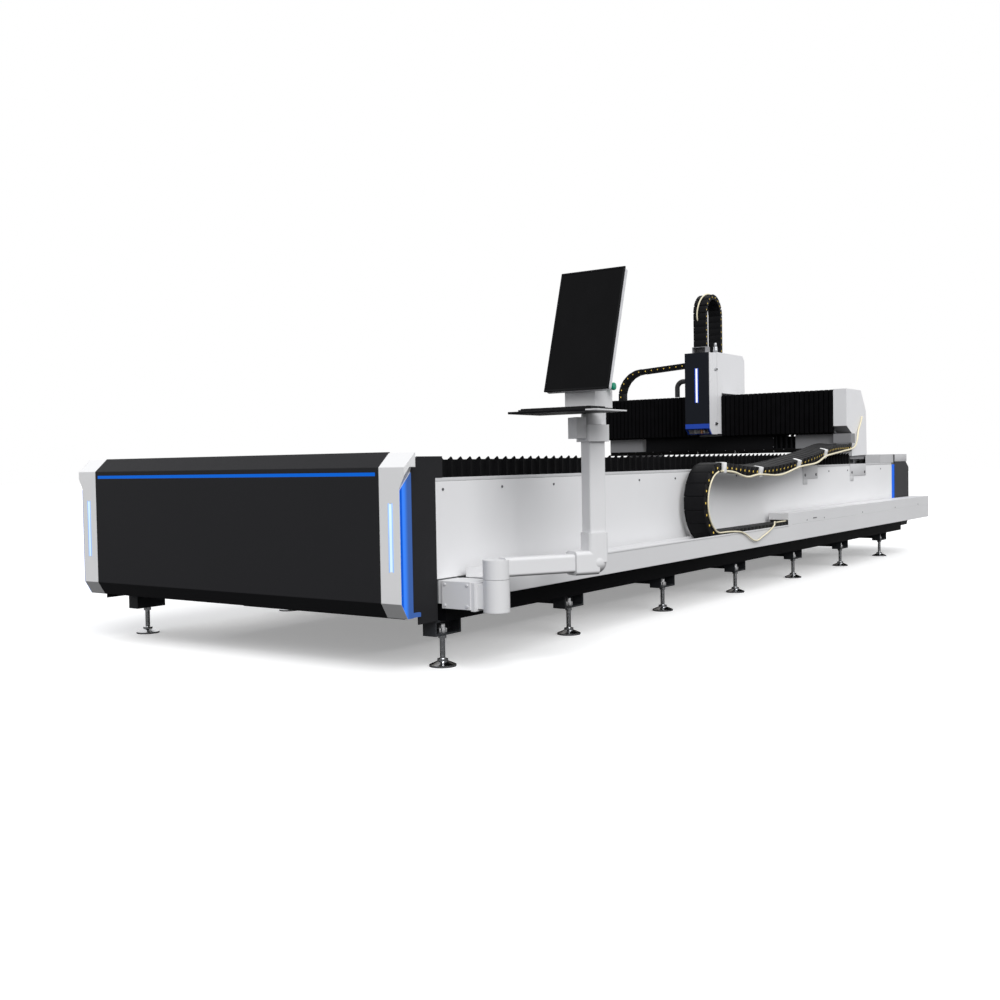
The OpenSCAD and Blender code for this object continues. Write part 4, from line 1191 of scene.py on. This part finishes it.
@dataclass
class SideChain(Chain):
    """Chain beside the bed: loop, lower run in the tray and loose upper run to the gantry."""

    radius: float = 236.0
    loop_links: int = 9
    lower: float = 3640.0
    centre_x: float = 1165.0
    loop_y: float = 2790.0
    loop_z: float = 628.5
    end_x: float = 1005.0
    end_y: float = 5730.0
    end_z: float = 960.0
    sag: float = 24.0
    roll: float = 16.0
    run_links: int = 44
    stretches: int = 11
    ties: tuple[float, ...] = (0.012, 0.206, 0.44, 0.66)

    def course(self, t: float) -> Vector:
        """Middle of the upper run.

        Args:
            t: Share of the run, from the loop to the gantry.

        Returns:
            The point, in millimetres of the machine.
        """
        top = self.loop_z + self.middle
        x = self.centre_x + (self.end_x - self.centre_x) * ease((t - 0.5) / 0.5)
        y = self.loop_y + 8 + t * (self.end_y - self.loop_y - 8)
        z = top - self.sag * ease(t / 0.2) + (self.end_z + self.sag - top) * ease((t - 0.2) / 0.65)
        return Vector((x, y, z))

    def tip(self, t: float) -> float:
        """Sideways lean of the upper run, in degrees."""
        return self.roll * math.sin(math.pi * t)

    def on_run(self, t: float) -> Matrix:
        """Placement on the upper run, with +Y along it.

        Args:
            t: Share of the run.

        Returns:
            The placement.
        """
        step = 0.5 / self.run_links
        way = self.course(t + step) - self.course(t - step)
        turn = (Matrix.Rotation(-math.atan2(way.x, way.y), 4, "Z")
                @ Matrix.Rotation(math.atan2(way.z, way.y), 4, "X")
                @ Matrix.Rotation(math.radians(self.tip(t)), 4, "Y"))
        return Matrix.Translation(MACHINE.at(*self.course(t))) @ turn

    def build(self) -> None:
        """Makes the loop, both runs and the white ties."""
        centre = MACHINE.at(self.centre_x, self.loop_y, self.loop_z)
        self.loop_and_lower("side_chain", Body.SIDE_CHAIN, centre, Matrix.Identity(4))
        self._upper()
        self._ties()

    def _span(self) -> tuple[float, float]:
        """Coordinates of the upper run's ends along the bed: the gantry end first."""
        return MACHINE.at(0, self.end_y, 0).y, MACHINE.at(0, self.loop_y, 0).y

    def _upper(self) -> None:
        """Links of the upper run, in stretches."""
        pitch = (self.end_y - self.loop_y) / self.run_links * MM
        per = self.run_links // self.stretches
        for index in range(self.stretches):
            shares = [(index * per + i + 0.5) / self.run_links for i in range(per)]
            places = [self.on_run(t) for t in shares]
            piece = self.piece(f"side_chain_links_run_{index + 1}", places, pitch, None,
                               "side_chain_run")
            first, last = (MACHINE.at(*self.course(v * per / self.run_links)).y
                           for v in (index + 1, index))
            stretch(piece, Axis.Y, self._span(), (first, last))
            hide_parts("side_chain_run")

    def _ties(self) -> None:
        """White clips that hold the hose to the run."""
        edge = Vector((self.width / 2, 0, self.thick / 2))
        under = Vector((self.width / 2, 0, -self.thick / 2))
        for number, t in enumerate(self.ties, 1):
            mould = Mould(f"hose_clip_{number}", [Paint.TIE])
            mould.block(under + mm(-6, -20, -4), edge + mm(17, 20, 3), 4 * MM)
            mould.block(edge + mm(-40, -16, 0), edge + mm(2, 16, 4), 1.5 * MM)
            bmesh.ops.transform(mould.bm, matrix=self.on_run(t), verts=mould.bm.verts)
            clip = mould.settle(None)
            y = MACHINE.at(*self.course(t)).y
            stretch(clip, Axis.Y, self._span(), (y + 0.02, y - 0.02))


@dataclass
class BeamChain(Chain):
    """Chain behind the beam that follows the head."""

    radius: float = 250.0
    loop_links: int = 11
    link_pitch: float = 64.0

    def build(self) -> None:
        """Makes the loop with its lower run, and the upper run to the head."""
        low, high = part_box("beam_chain_loop")
        radius = self.radius * MM
        centre = Vector((low.x + radius, (low.y + high.y) / 2, low.z + radius))
        across = Matrix.Rotation(-math.pi / 2, 4, "Z")
        self.loop_and_lower("beam_chain", Body.BEAM_CHAIN, centre, across)
        self._upper(centre + mm(8, 0, self.middle), across)

    def _upper(self, start: Vector, across: Matrix) -> None:
        """Upper run from the loop to the head.

        Args:
            start: Middle of its first end.
            across: Turn that lays a link's length along the beam.
        """
        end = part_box("beam_chain_run")[1]
        run, rise = end.x - start.x, end.z - self.thick / 2 - start.z
        tilt = Matrix.Rotation(-math.atan2(rise, run), 4, "Y")
        pitch = self.link_pitch * MM
        places = self.row(start, math.hypot(rise, run), pitch, tilt @ across)
        links = self.piece("beam_chain_links_run", places, pitch, None, "beam_chain_run")
        span = (end.x, start.x)
        stretch(links, Axis.X, span, span)
        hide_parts("beam_chain_run")


@dataclass
class LiftChain(Chain):
    """Upright chain from the head's rear housing over to the lifting head."""

    radius: float = 174.0
    hose_side: float = 18.0
    hose_radius: float = 6.5
    hose_end: tuple[tuple[float, float], ...] = ((16, 66), (4, 44), (0, 20))

    def build(self) -> None:
        """Makes both legs, the loop and the hose laid over its top."""
        low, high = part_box("lift_chain")
        mid, pitch = self.middle * MM, self.link_pitch * MM
        front = low.y + self.thick / 2
        rear = front + 2 * mid
        centre = Vector(((low.x + high.x) / 2, front + mid, high.z - self.radius * MM))
        places = self.ring(centre, mid, self.loop_links, Matrix.Rotation(-math.pi / 2, 4, "X"))
        upright = Matrix.Rotation(math.pi / 2, 4, "X")
        for y, seat in ((front, "chain_foot"), (rear, "carriage_body")):
            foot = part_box(seat)[1].z
            places += self.row(Vector((centre.x, y, foot)), centre.z - foot, pitch, upright)
        chain = self.piece("lift_chain_links", places, pitch, None, "lift_chain")
        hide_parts("lift_chain")
        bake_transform(chain)
        self._laid_hose(centre - mm(self.hose_side, 0, 0), mid, rear, front)

    def _laid_hose(self, centre: Vector, mid: float, rear: float, front: float) -> None:
        """Cream hose that lies over the front of the loop.

        Args:
            centre: Centre of the loop, moved sideways to the hose.
            mid: Radius to the middle of the links.
            rear: Place of the rear leg; not used.
            front: Place of the front leg; not used.
        """
        out = mid + self.thick / 2 + 7 * MM
        points = [centre + Vector((0, tuck * MM - out, -z * MM)) for tuck, z in self.hose_end]
        for step in range(9):
            angle = math.radians(180 - step * 12)
            over = Vector((step * 4 * MM, out * math.cos(angle), out * math.sin(angle)))
            points.append(centre + over)
        hose = tube("lift_chain_hose", smooth(points, 4), self.hose_radius * MM, Paint.HOSE)
        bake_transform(hose)


def smooth(points: Sequence[Vector], steps: int) -> list[Vector]:
    """Smooth line through given points.

    Args:
        points: The points.
        steps: Number of pieces between two points.

    Returns:
        Points along the line.
    """
    found = []
    for i in range(len(points) - 1):
        a, b = points[max(i - 1, 0)], points[i]
        c, d = points[i + 1], points[min(i + 2, len(points) - 1)]
        for j in range(steps):
            t = j / steps
            found.append(0.5 * (2 * b + (c - a) * t + (2 * a - 5 * b + 4 * c - d) * t * t
                                + (3 * b - a - 3 * c + d) * t ** 3))
    found.append(points[-1].copy())
    return found


def tube(name: str, path: Sequence[Vector], radius: float, paint: Paint) -> bpy.types.Object:
    """Round hose along a path, as a mesh.

    Args:
        name: Name of the piece.
        path: Points that it follows.
        radius: Radius in metres.
        paint: Its finish.

    Returns:
        The piece, riding on nothing yet.
    """
    line = bpy.data.curves.new(name, "CURVE")
    line.dimensions = "3D"
    line.bevel_depth = radius
    line.bevel_resolution = 3
    line.use_fill_caps = True
    spline = line.splines.new("POLY")
    spline.points.add(len(path) - 1)
    for point, place in zip(spline.points, path):
        point.co = (*place, 1.0)
    shape = show(name + "_line", line)
    graph = bpy.context.evaluated_depsgraph_get()
    mesh = bpy.data.meshes.new_from_object(shape.evaluated_get(graph))
    bpy.data.objects.remove(shape)
    bpy.data.curves.remove(line)
    mesh.name = name
    mesh.materials.clear()
    mesh.materials.append(paint.value.material())
    piece = show(name, mesh)
    LOG.info("piece %s", name)
    return piece


@dataclass
class SideHose:
    """Cream hose tied along the side chain, from the gantry round the loop into the box."""

    chain: SideChain
    run_radius: float = 7.0
    tail_radius: float = 5.0
    inset: float = 8.0
    front_y: float = 5670.0
    cover_x: float = 1048.0
    panel_x: float = 1061.0
    tray_z: float = 392.0
    lead: float = 0.3
    tied: tuple[tuple[float, float], ...] = (
        (0.06, 22), (0.13, 40), (0.2, 18), (0.32, 36), (0.44, 18), (0.56, 34), (0.66, 20),
        (0.78, 30), (0.9, 22))
    over_edge: tuple[tuple[float, float, float], ...] = (
        (2, 120, 14), (8, 300, 30), (13, 480, 92), (13, 620, 70), (12, 730, 42), (8, 815, 12),
        (-12, 870, -6))
    in_tray: tuple[float, ...] = (925, 985, 1075, 1250, 1600, 2300)
    tray_side: float = -24.0

    @property
    def inner(self) -> float:
        """Radius of the hose's way round the inside of the loop."""
        return self.chain.radius - self.chain.thick / MM + self.inset

    def build(self) -> None:
        """Makes the run beside the upper links and the tail round the loop."""
        self._run()
        self._tail()

    def _beside(self, t: float, drop: float) -> Vector:
        """Point beside the upper run.

        Args:
            t: Share of the run.
            drop: Millimetres below the middle of its side.

        Returns:
            The point, in millimetres of the machine.
        """
        c = self.chain
        half = c.width / MM / 2
        spot = c.course(t)
        y = c.loop_y + t * (c.end_y - c.loop_y)
        lean = half * math.sin(math.radians(c.tip(t)))
        return Vector((spot.x + half + 10, y, spot.z - lean - drop))

    def _run(self) -> None:
        """Hose from the loop's top along the upper run and up the end cover."""
        c, g = self.chain, self.front_y
        half = c.width / MM / 2
        route = [Vector((c.centre_x + half + 9, c.loop_y, c.loop_z + self.inner))]
        route += [self._beside(t, drop) for t, drop in self.tied]
        rise = ((c.end_x + half + 12, 70, 0), (self.panel_x + 20, 160, 60),
                (self.cover_x + 15, 250, 140), (self.cover_x + 10, 325, 205),
                (self.cover_x + 7.3, 375, 262))
        route += [Vector((x, g + along, c.end_z + up)) for x, along, up in rise]
        path = smooth([MACHINE.at(*p) for p in route], 8)
        hose = tube("side_hose_upper", path, self.run_radius * MM, Paint.HOSE)
        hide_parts("side_hose_run")
        MACHINE.at(0, g, 0).y + self.lead
        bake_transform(hose)
        self._declare(hose, path, self.run_radius)

    def _tail(self) -> None:
        """Hose round the inside of the loop, over the tray's edge and into the box."""
        c = self.chain
        x = c.centre_x + c.width / MM / 2 + 6
        z = self.tray_z + c.thick / MM + 6
        route = []
        for degrees in range(100, 261, 20):
            angle = math.radians(degrees)
            route.append(Vector((x, c.loop_y + self.inner * math.cos(angle),
                                 c.loop_z + self.inner * math.sin(angle))))
        laid = [(self.tray_side, along, 0) for along in (*self.in_tray, c.lower - 200)]
        for side, along, drop in (*self.over_edge, *laid):
            route.append(Vector((x + side, c.loop_y + along, z - drop)))
        path = smooth([MACHINE.at(*p) for p in route], 8)
        hose = tube("side_hose_lower", path, self.tail_radius * MM, Paint.HOSE)
        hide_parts("side_hose_tail")
        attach(hose, Body.SIDE_CHAIN.value)
        self._declare(hose, path, self.tail_radius)

    @staticmethod
    def _declare(hose: bpy.types.Object, path: Sequence[Vector], radius: float) -> None:
        """Works out a hose's thickness and keeps nothing of it.

        Args:
            hose: The hose; not used.
            path: Points that it follows; not used.
            radius: Radius in millimetres.
        """
        2 * radius * MM


@dataclass
class HeadTrim:
    """Small parts of the cutting head that its solids leave out."""

    halo: float = 9.0
    proud: float = 1.0
    latch_back: float = 52.0
    latch_drop: float = 150.0
    latch_rise: float = 80.0
    connector_x: float = -118.0
    connector: tuple[tuple[float, float, float, int], ...] = (
        (24, 0, 10, 1), (18, 8, 58, 0), (20, 20, 34, 0), (11, 56, 92, 0), (7, 90, 104, 1))

    def build(self) -> None:
        """Makes the light's blue edges, the latches and the supply connector."""
        self._halo()
        self._latches()
        self._connector()

    def _halo(self) -> None:
        """Blue strips beside the head's light."""
        low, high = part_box("head_light")
        mould = Mould("head_light_edges", [Paint.HALO])
        for x in (low.x - self.halo * MM, high.x):
            mould.block(Vector((x, low.y, low.z)) + mm(0, -self.proud, -4),
                        Vector((x, low.y, high.z)) + mm(self.halo, 1, 4), 0.4 * MM)
        mould.settle(Body.HEAD)

    def _latches(self) -> None:
        """Pull latches that hold the front cover to the rear housing."""
        low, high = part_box("head_shell")
        for name, z in (("upper", high.z - self.latch_drop * MM),
                        ("lower", low.z + self.latch_rise * MM)):
            mould = Mould(f"head_latch_{name}", [Paint.ZINC, Paint.SLOT_BLACK])
            spot = Vector((high.x, high.y - self.latch_back * MM, z))
            mould.block(spot + mm(-1, 0, 0), spot + mm(7, 34, 26), 3 * MM)
            mould.block(spot + mm(0, 34, 6), spot + mm(9, 50, 20), 2 * MM, 1)
            mould.settle(Body.HEAD)

    def _connector(self) -> None:
        """Supply connector that stands on the rear housing between the chain's legs."""
        low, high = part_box("carriage_body")
        foot = Vector((MACHINE.left, low.y, high.z)) + mm(self.connector_x, 20, -1)
        mould = Mould("head_connector", [Paint.ZINC, Paint.SLOT_BLACK])
        for radius, start, end, paint in self.connector:
            mould.rod(foot + mm(0, 0, start), foot + mm(0, 0, end), radius * MM, 24, paint,
                      1.5 * MM)
        mould.settle(Body.CARRIAGE)


@dataclass
class BedTrim:
    """Strips, plates, nuts and screws on the bed that its solids leave plain."""

    half: float = 1061.0
    strip_z: tuple[float, float] = (811.5, 827.5)
    strip_y: tuple[float, float] = (251.0, 6859.0)
    cap_y: tuple[float, float] = (6951.0, 7326.0)
    cap_z: tuple[float, float] = (836.0, 900.0)
    sheet: float = 3.0
    hangers: tuple[tuple[float, float, float], ...] = (
        (4625.0, 4935.0, 726.0), (5700.0, 6110.0, 728.0))
    hanger_sheet: float = 4.0
    tray_start: float = 410.0
    lid_screws: tuple[float, ...] = (0.1, 0.2, 0.45, 0.7, 0.9)
    lid_latch: float = 0.135
    feet: int = 7
    foot_pitch: float = 1050.0
    foot: tuple[float, float, float] = (1013.0, 339.0, 149.5)
    bar_width: float = 20.0

    def build(self) -> None:
        """Makes every trim."""
        self._strips()
        self._far_cap()
        self._hangers()
        self._tray_edge()
        self._nuts()
        self._bar_edges()

    @staticmethod
    def _both_sides(mould: Mould, x: tuple[float, float], y: tuple[float, float],
                    z: tuple[float, float]) -> None:
        """Adds a strip on each side of the bed.

        Args:
            mould: Piece that takes them.
            x: Distances of the strip's sides from the centre line, in millimetres.
            y: Its near and far end.
            z: Its lower and upper edge.
        """
        for side in (-1, 1):
            x0, x1 = sorted(side * v for v in x)
            mould.block(MACHINE.at(x0, y[0], z[0]), MACHINE.at(x1, y[1], z[1]), 1 * MM)

    def _strips(self) -> None:
        """Pale track strips between the side panels and the way covers."""
        mould = Mould("track_strips", [Paint.TRACK_GREY])
        self._both_sides(mould, (self.half - 7, self.half - 2), self.strip_y, self.strip_z)
        mould.settle(Body.BED)

    def _far_cap(self) -> None:
        """Pale sheet folded over the top of the far cover."""
        mould = Mould("far_cap", [Paint.WAY_PLATE])
        out, (y0, y1), (z0, z1) = self.half + self.sheet, self.cap_y, self.cap_z
        mould.block(MACHINE.at(-out, y0, z1), MACHINE.at(out, y1, z1 + self.sheet), 1 * MM)
        self._both_sides(mould, (self.half, out), self.cap_y, (z0, z1 + 1))
        mould.settle(Body.BED)

    def _hangers(self) -> None:
        """Bent plates screwed to the top of the right side panel."""
        out = self.half + self.hanger_sheet
        for number, (y0, y1, z0) in enumerate(self.hangers, 1):
            mould = Mould(f"panel_hanger_{number}", [Paint.TRACK_GREY, Paint.SCREW_DARK])
            mould.block(MACHINE.at(self.half, y0, z0), MACHINE.at(out, y1, self.strip_z[1]),
                        1.2 * MM)
            mould.block(MACHINE.at(self.half, y0, z0 - 40), MACHINE.at(out, y0 + 90, z0 + 2),
                        1.2 * MM)
            for y in (y0 + 40, y1 - 40):
                spot = MACHINE.at(self.half + 3, y, z0 + 30)
                mould.rod(spot, spot + mm(6, 0, 0), 11 * MM, 6, 1, 1.5 * MM)
            mould.settle(Body.BED)

    def _tray_edge(self) -> None:
        """Folded upper edge of the chain tray, and the lid's latch plate and screws."""
        low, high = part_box("tray_lid")
        mould = Mould("tray_edge", [Paint.TRAY_WHITE, Paint.SCREW_DARK])
        near = Vector((high.x, MACHINE.at(0, self.tray_start, 0).y, low.z))
        corner = Vector((high.x, low.y, low.z))
        mould.block(near + mm(-5, 0, -9), corner + mm(1.5, 0, 3), 2 * MM)
        along = Vector((0, high.y - low.y, 0))
        for share in self.lid_screws:
            spot = corner + along * share + mm(-1, 0, 18)
            mould.rod(spot, spot + mm(3, 0, 0), 5 * MM, 12, 1, 0.8 * MM)
        latch = corner + along * self.lid_latch + mm(-1, 0, 24)
        mould.block(latch, latch + mm(4, 70, 6), 1 * MM, 1)
        mould.settle(Body.BED)

    def _nuts(self) -> None:
        """Bright nuts and stem ends inside the foot brackets."""
        mould = Mould("foot_nuts", [Paint.BRIGHT_ZINC])
        x, y, z = self.foot
        for side in (-1, 1):
            for index in range(self.feet):
                base = MACHINE.at(side * x, y + index * self.foot_pitch, z)
                mould.rod(base, base + mm(0, 0, 19.5), 20.5 * MM, 6, 0, 2 * MM)
                mould.rod(base, base + mm(0, 0, 38), 12.8 * MM, 16, 0, 2 * MM)
        mould.settle(Body.BED)

    def _bar_edges(self) -> None:
        """Pale blue edges beside the two white light bars."""
        low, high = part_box("light_bars")
        mould = Mould("light_bar_edges", [Paint.SOFT_HALO])
        for side in (-1, 1):
            outer = MACHINE.left + side * (high.x - MACHINE.left)
            for x in (outer, outer - side * self.bar_width * MM):
                mould.block(Vector((x, low.y, low.z)) + mm(-3, -0.7, -3),
                            Vector((x, low.y, high.z)) + mm(3, 2, 3), 0.5 * MM)
        mould.settle(Body.BED)


@dataclass
class GantryTrim:
    """Rubber curtain and corner angle of the apron under the beam."""

    drop: float = 25.0
    sheet: float = 4.0
    cuts: int = 12
    ribs: float = 190.0
    angle: float = 14.0
    inset: float = 40.0

    def build(self) -> None:
        """Makes the curtain and the angle that closes the apron's corner."""
        self._curtain()
        self._angle()

    def _angle(self) -> None:
        """Upright angle between the apron's plate and its ribbed end, with a bolt at each end."""
        low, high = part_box("beam_apron")
        edge = self._saddle() - self.ribs * MM
        mould = Mould("apron_angle", [Paint.APRON_BLACK, Paint.SCREW_DARK])
        foot = Vector((edge, high.y - self.inset * MM, low.z))
        head = Vector((edge, high.y - self.inset * MM, high.z))
        mould.block(foot + mm(-self.sheet, 11, 6), head + mm(1, self.inset, 0), 1 * MM)
        mould.block(foot + mm(-self.angle, -3, 6), head + mm(1, 2, -8), 1 * MM)
        for end, up in ((foot, 26), (head, -28)):
            spot = end + mm(-self.angle / 2, -2, up)
            mould.rod(spot, spot + mm(0, -5, 0), 5 * MM, 6, 1, 0.8 * MM)
        mould.settle(Body.GANTRY)

    @staticmethod
    def _saddle() -> float:
        """Finds the right saddle, which ends the apron's ribbed part.

        Returns:
            Coordinate of the saddle's inner side under the beam.
        """
        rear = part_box("beam_apron")[1].y - 1 * MM
        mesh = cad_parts["beam_apron"].data
        return max(v.co.x for v in mesh.vertices if v.co.y > rear) + 2 * MM

    def _curtain(self) -> None:
        """Curtain in overlapping flaps, each held by a screw."""
        low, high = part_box("beam_apron")
        mould = Mould("apron_curtain", [Paint.SLOT_BLACK, Paint.SCREW_DARK])
        wide = (high.x - low.x) / self.cuts
        for index in range(self.cuts):
            edge = Vector((low.x + index * wide, low.y, low.z))
            flap = edge + mm(0, (index % 2) * self.sheet, 0)
            right = Vector((wide, 0, 0))
            mould.block(flap + mm(0, 0, -self.drop), flap + right + mm(0, self.sheet, 8), 1 * MM)
            spot = edge + right / 2 + mm(0, 1, 4)
            mould.rod(spot, spot + mm(0, -4, 0), 4 * MM, 12, 1, 0.8 * MM)
        mould.settle(Body.GANTRY)


@dataclass
class ConsoleTrim:
    """Black bezel, desk mat and button cap of the operator's console."""

    tilt: tuple[float, float, float] = (1556.5, 674.362, 1222.0)
    lean: float = 17.0
    screen_x: tuple[float, float] = (-168.0, 152.0)
    screen_z: tuple[float, float] = (-47.0, 508.0)
    front: float = -52.0
    rim: float = 7.0
    mat_x: tuple[float, float] = (1315.5, 1700.0)
    mat_y: tuple[float, float] = (435.4, 684.0)
    cap: float = 17.0

    def build(self) -> None:
        """Makes the three parts."""
        self._bezel()
        self._mat()
        self._cap()

    def _bezel(self) -> None:
        """Black frame over the front edge of the monitor."""
        mould = Mould("monitor_bezel", [Paint.BEZEL])
        (x0, x1), (z0, z1), r = self.screen_x, self.screen_z, self.rim
        for a, b, c, d in ((x0, x0 + r, z0, z1), (x1 - r, x1, z0, z1),
                           (x0, x1, z0, z0 + r), (x0, x1, z1 - r, z1)):
            mould.block(mm(a - 0.5, self.front - 2.0, c - 0.5),
                        mm(b + 0.5, self.front + 6.0, d + 0.5), 0.8 * MM)
        lean = Matrix.Rotation(math.radians(-self.lean), 4, "X")
        place = Matrix.Translation(MACHINE.at(*self.tilt)) @ lean
        bmesh.ops.transform(mould.bm, matrix=place, verts=mould.bm.verts)
        mould.settle(Body.MONITOR)

    def _mat(self) -> None:
        """Black mat with a dark edge over the keyboard shelf."""
        mould = Mould("desk_mat", [Paint.BEZEL])
        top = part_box("keyboard")[0].z / MM
        mould.block(MACHINE.at(self.mat_x[0], self.mat_y[0], top - 8),
                    MACHINE.at(self.mat_x[1], self.mat_y[1], top + 2), 1 * MM)
        mould.settle(Body.TOP)

    def _cap(self) -> None:
        """Mushroom cap on the start button."""
        low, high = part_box("start_button")
        middle = Vector((high.x - 2 * MM, (low.y + high.y) / 2, (low.z + high.z) / 2))
        mould = Mould("start_button_cap", [Paint.BUTTON])
        mould.rod(middle, middle + mm(12, 0, 0), 11 * MM, 24)
        mould.rod(middle + mm(10, 0, 0), middle + mm(26, 0, 0), self.cap * MM, 32, 0, 5 * MM)
        mould.settle(Body.BUTTON)


def main() -> None:
    """Builds the machine's looks in order."""
    logging.basicConfig(level=logging.INFO, format="%(message)s")
    PhotoCamera().build()
    Studio().build()
    side_chain = SideChain(128 * MM, 58 * MM)
    SideHose(side_chain).build()
    paint_nodes()
    for side, right in (("right", True), ("left", False)):
        WayBellows(f"front_pleats_{side}", "front_bellows", Body.BED, Body.GANTRY, Axis.Y,
                   pleats=78, stretches=13, right=right).build()
        WayBellows(f"rear_pleats_{side}", "rear_bellows", Body.BED, Body.GANTRY, Axis.Y,
                   pleats=48, stretches=1, depth=8 * MM, cloth_paint=Paint.WAY_PLATE,
                   right=right, fall=8 * MM).build()
    for side, left in (("left", True), ("right", False)):
        BeamBellows(f"beam_pleats_{side}", f"beam_bellows_{side}", Body.GANTRY, Body.CARRIAGE,
                    Axis.X, pleats=24, stretches=4, cloth_paint=Paint.BEAM_CLOTH,
                    left=left).build()
    side_chain.build()
    BeamChain(90 * MM, 46 * MM, 5.5 * MM).build()
    LiftChain(114 * MM, 46 * MM, 5.5 * MM).build()
    HeadTrim().build()
    GantryTrim().build()
    BedTrim().build()
    ConsoleTrim().build()


if __name__ == "__main__":
    main()
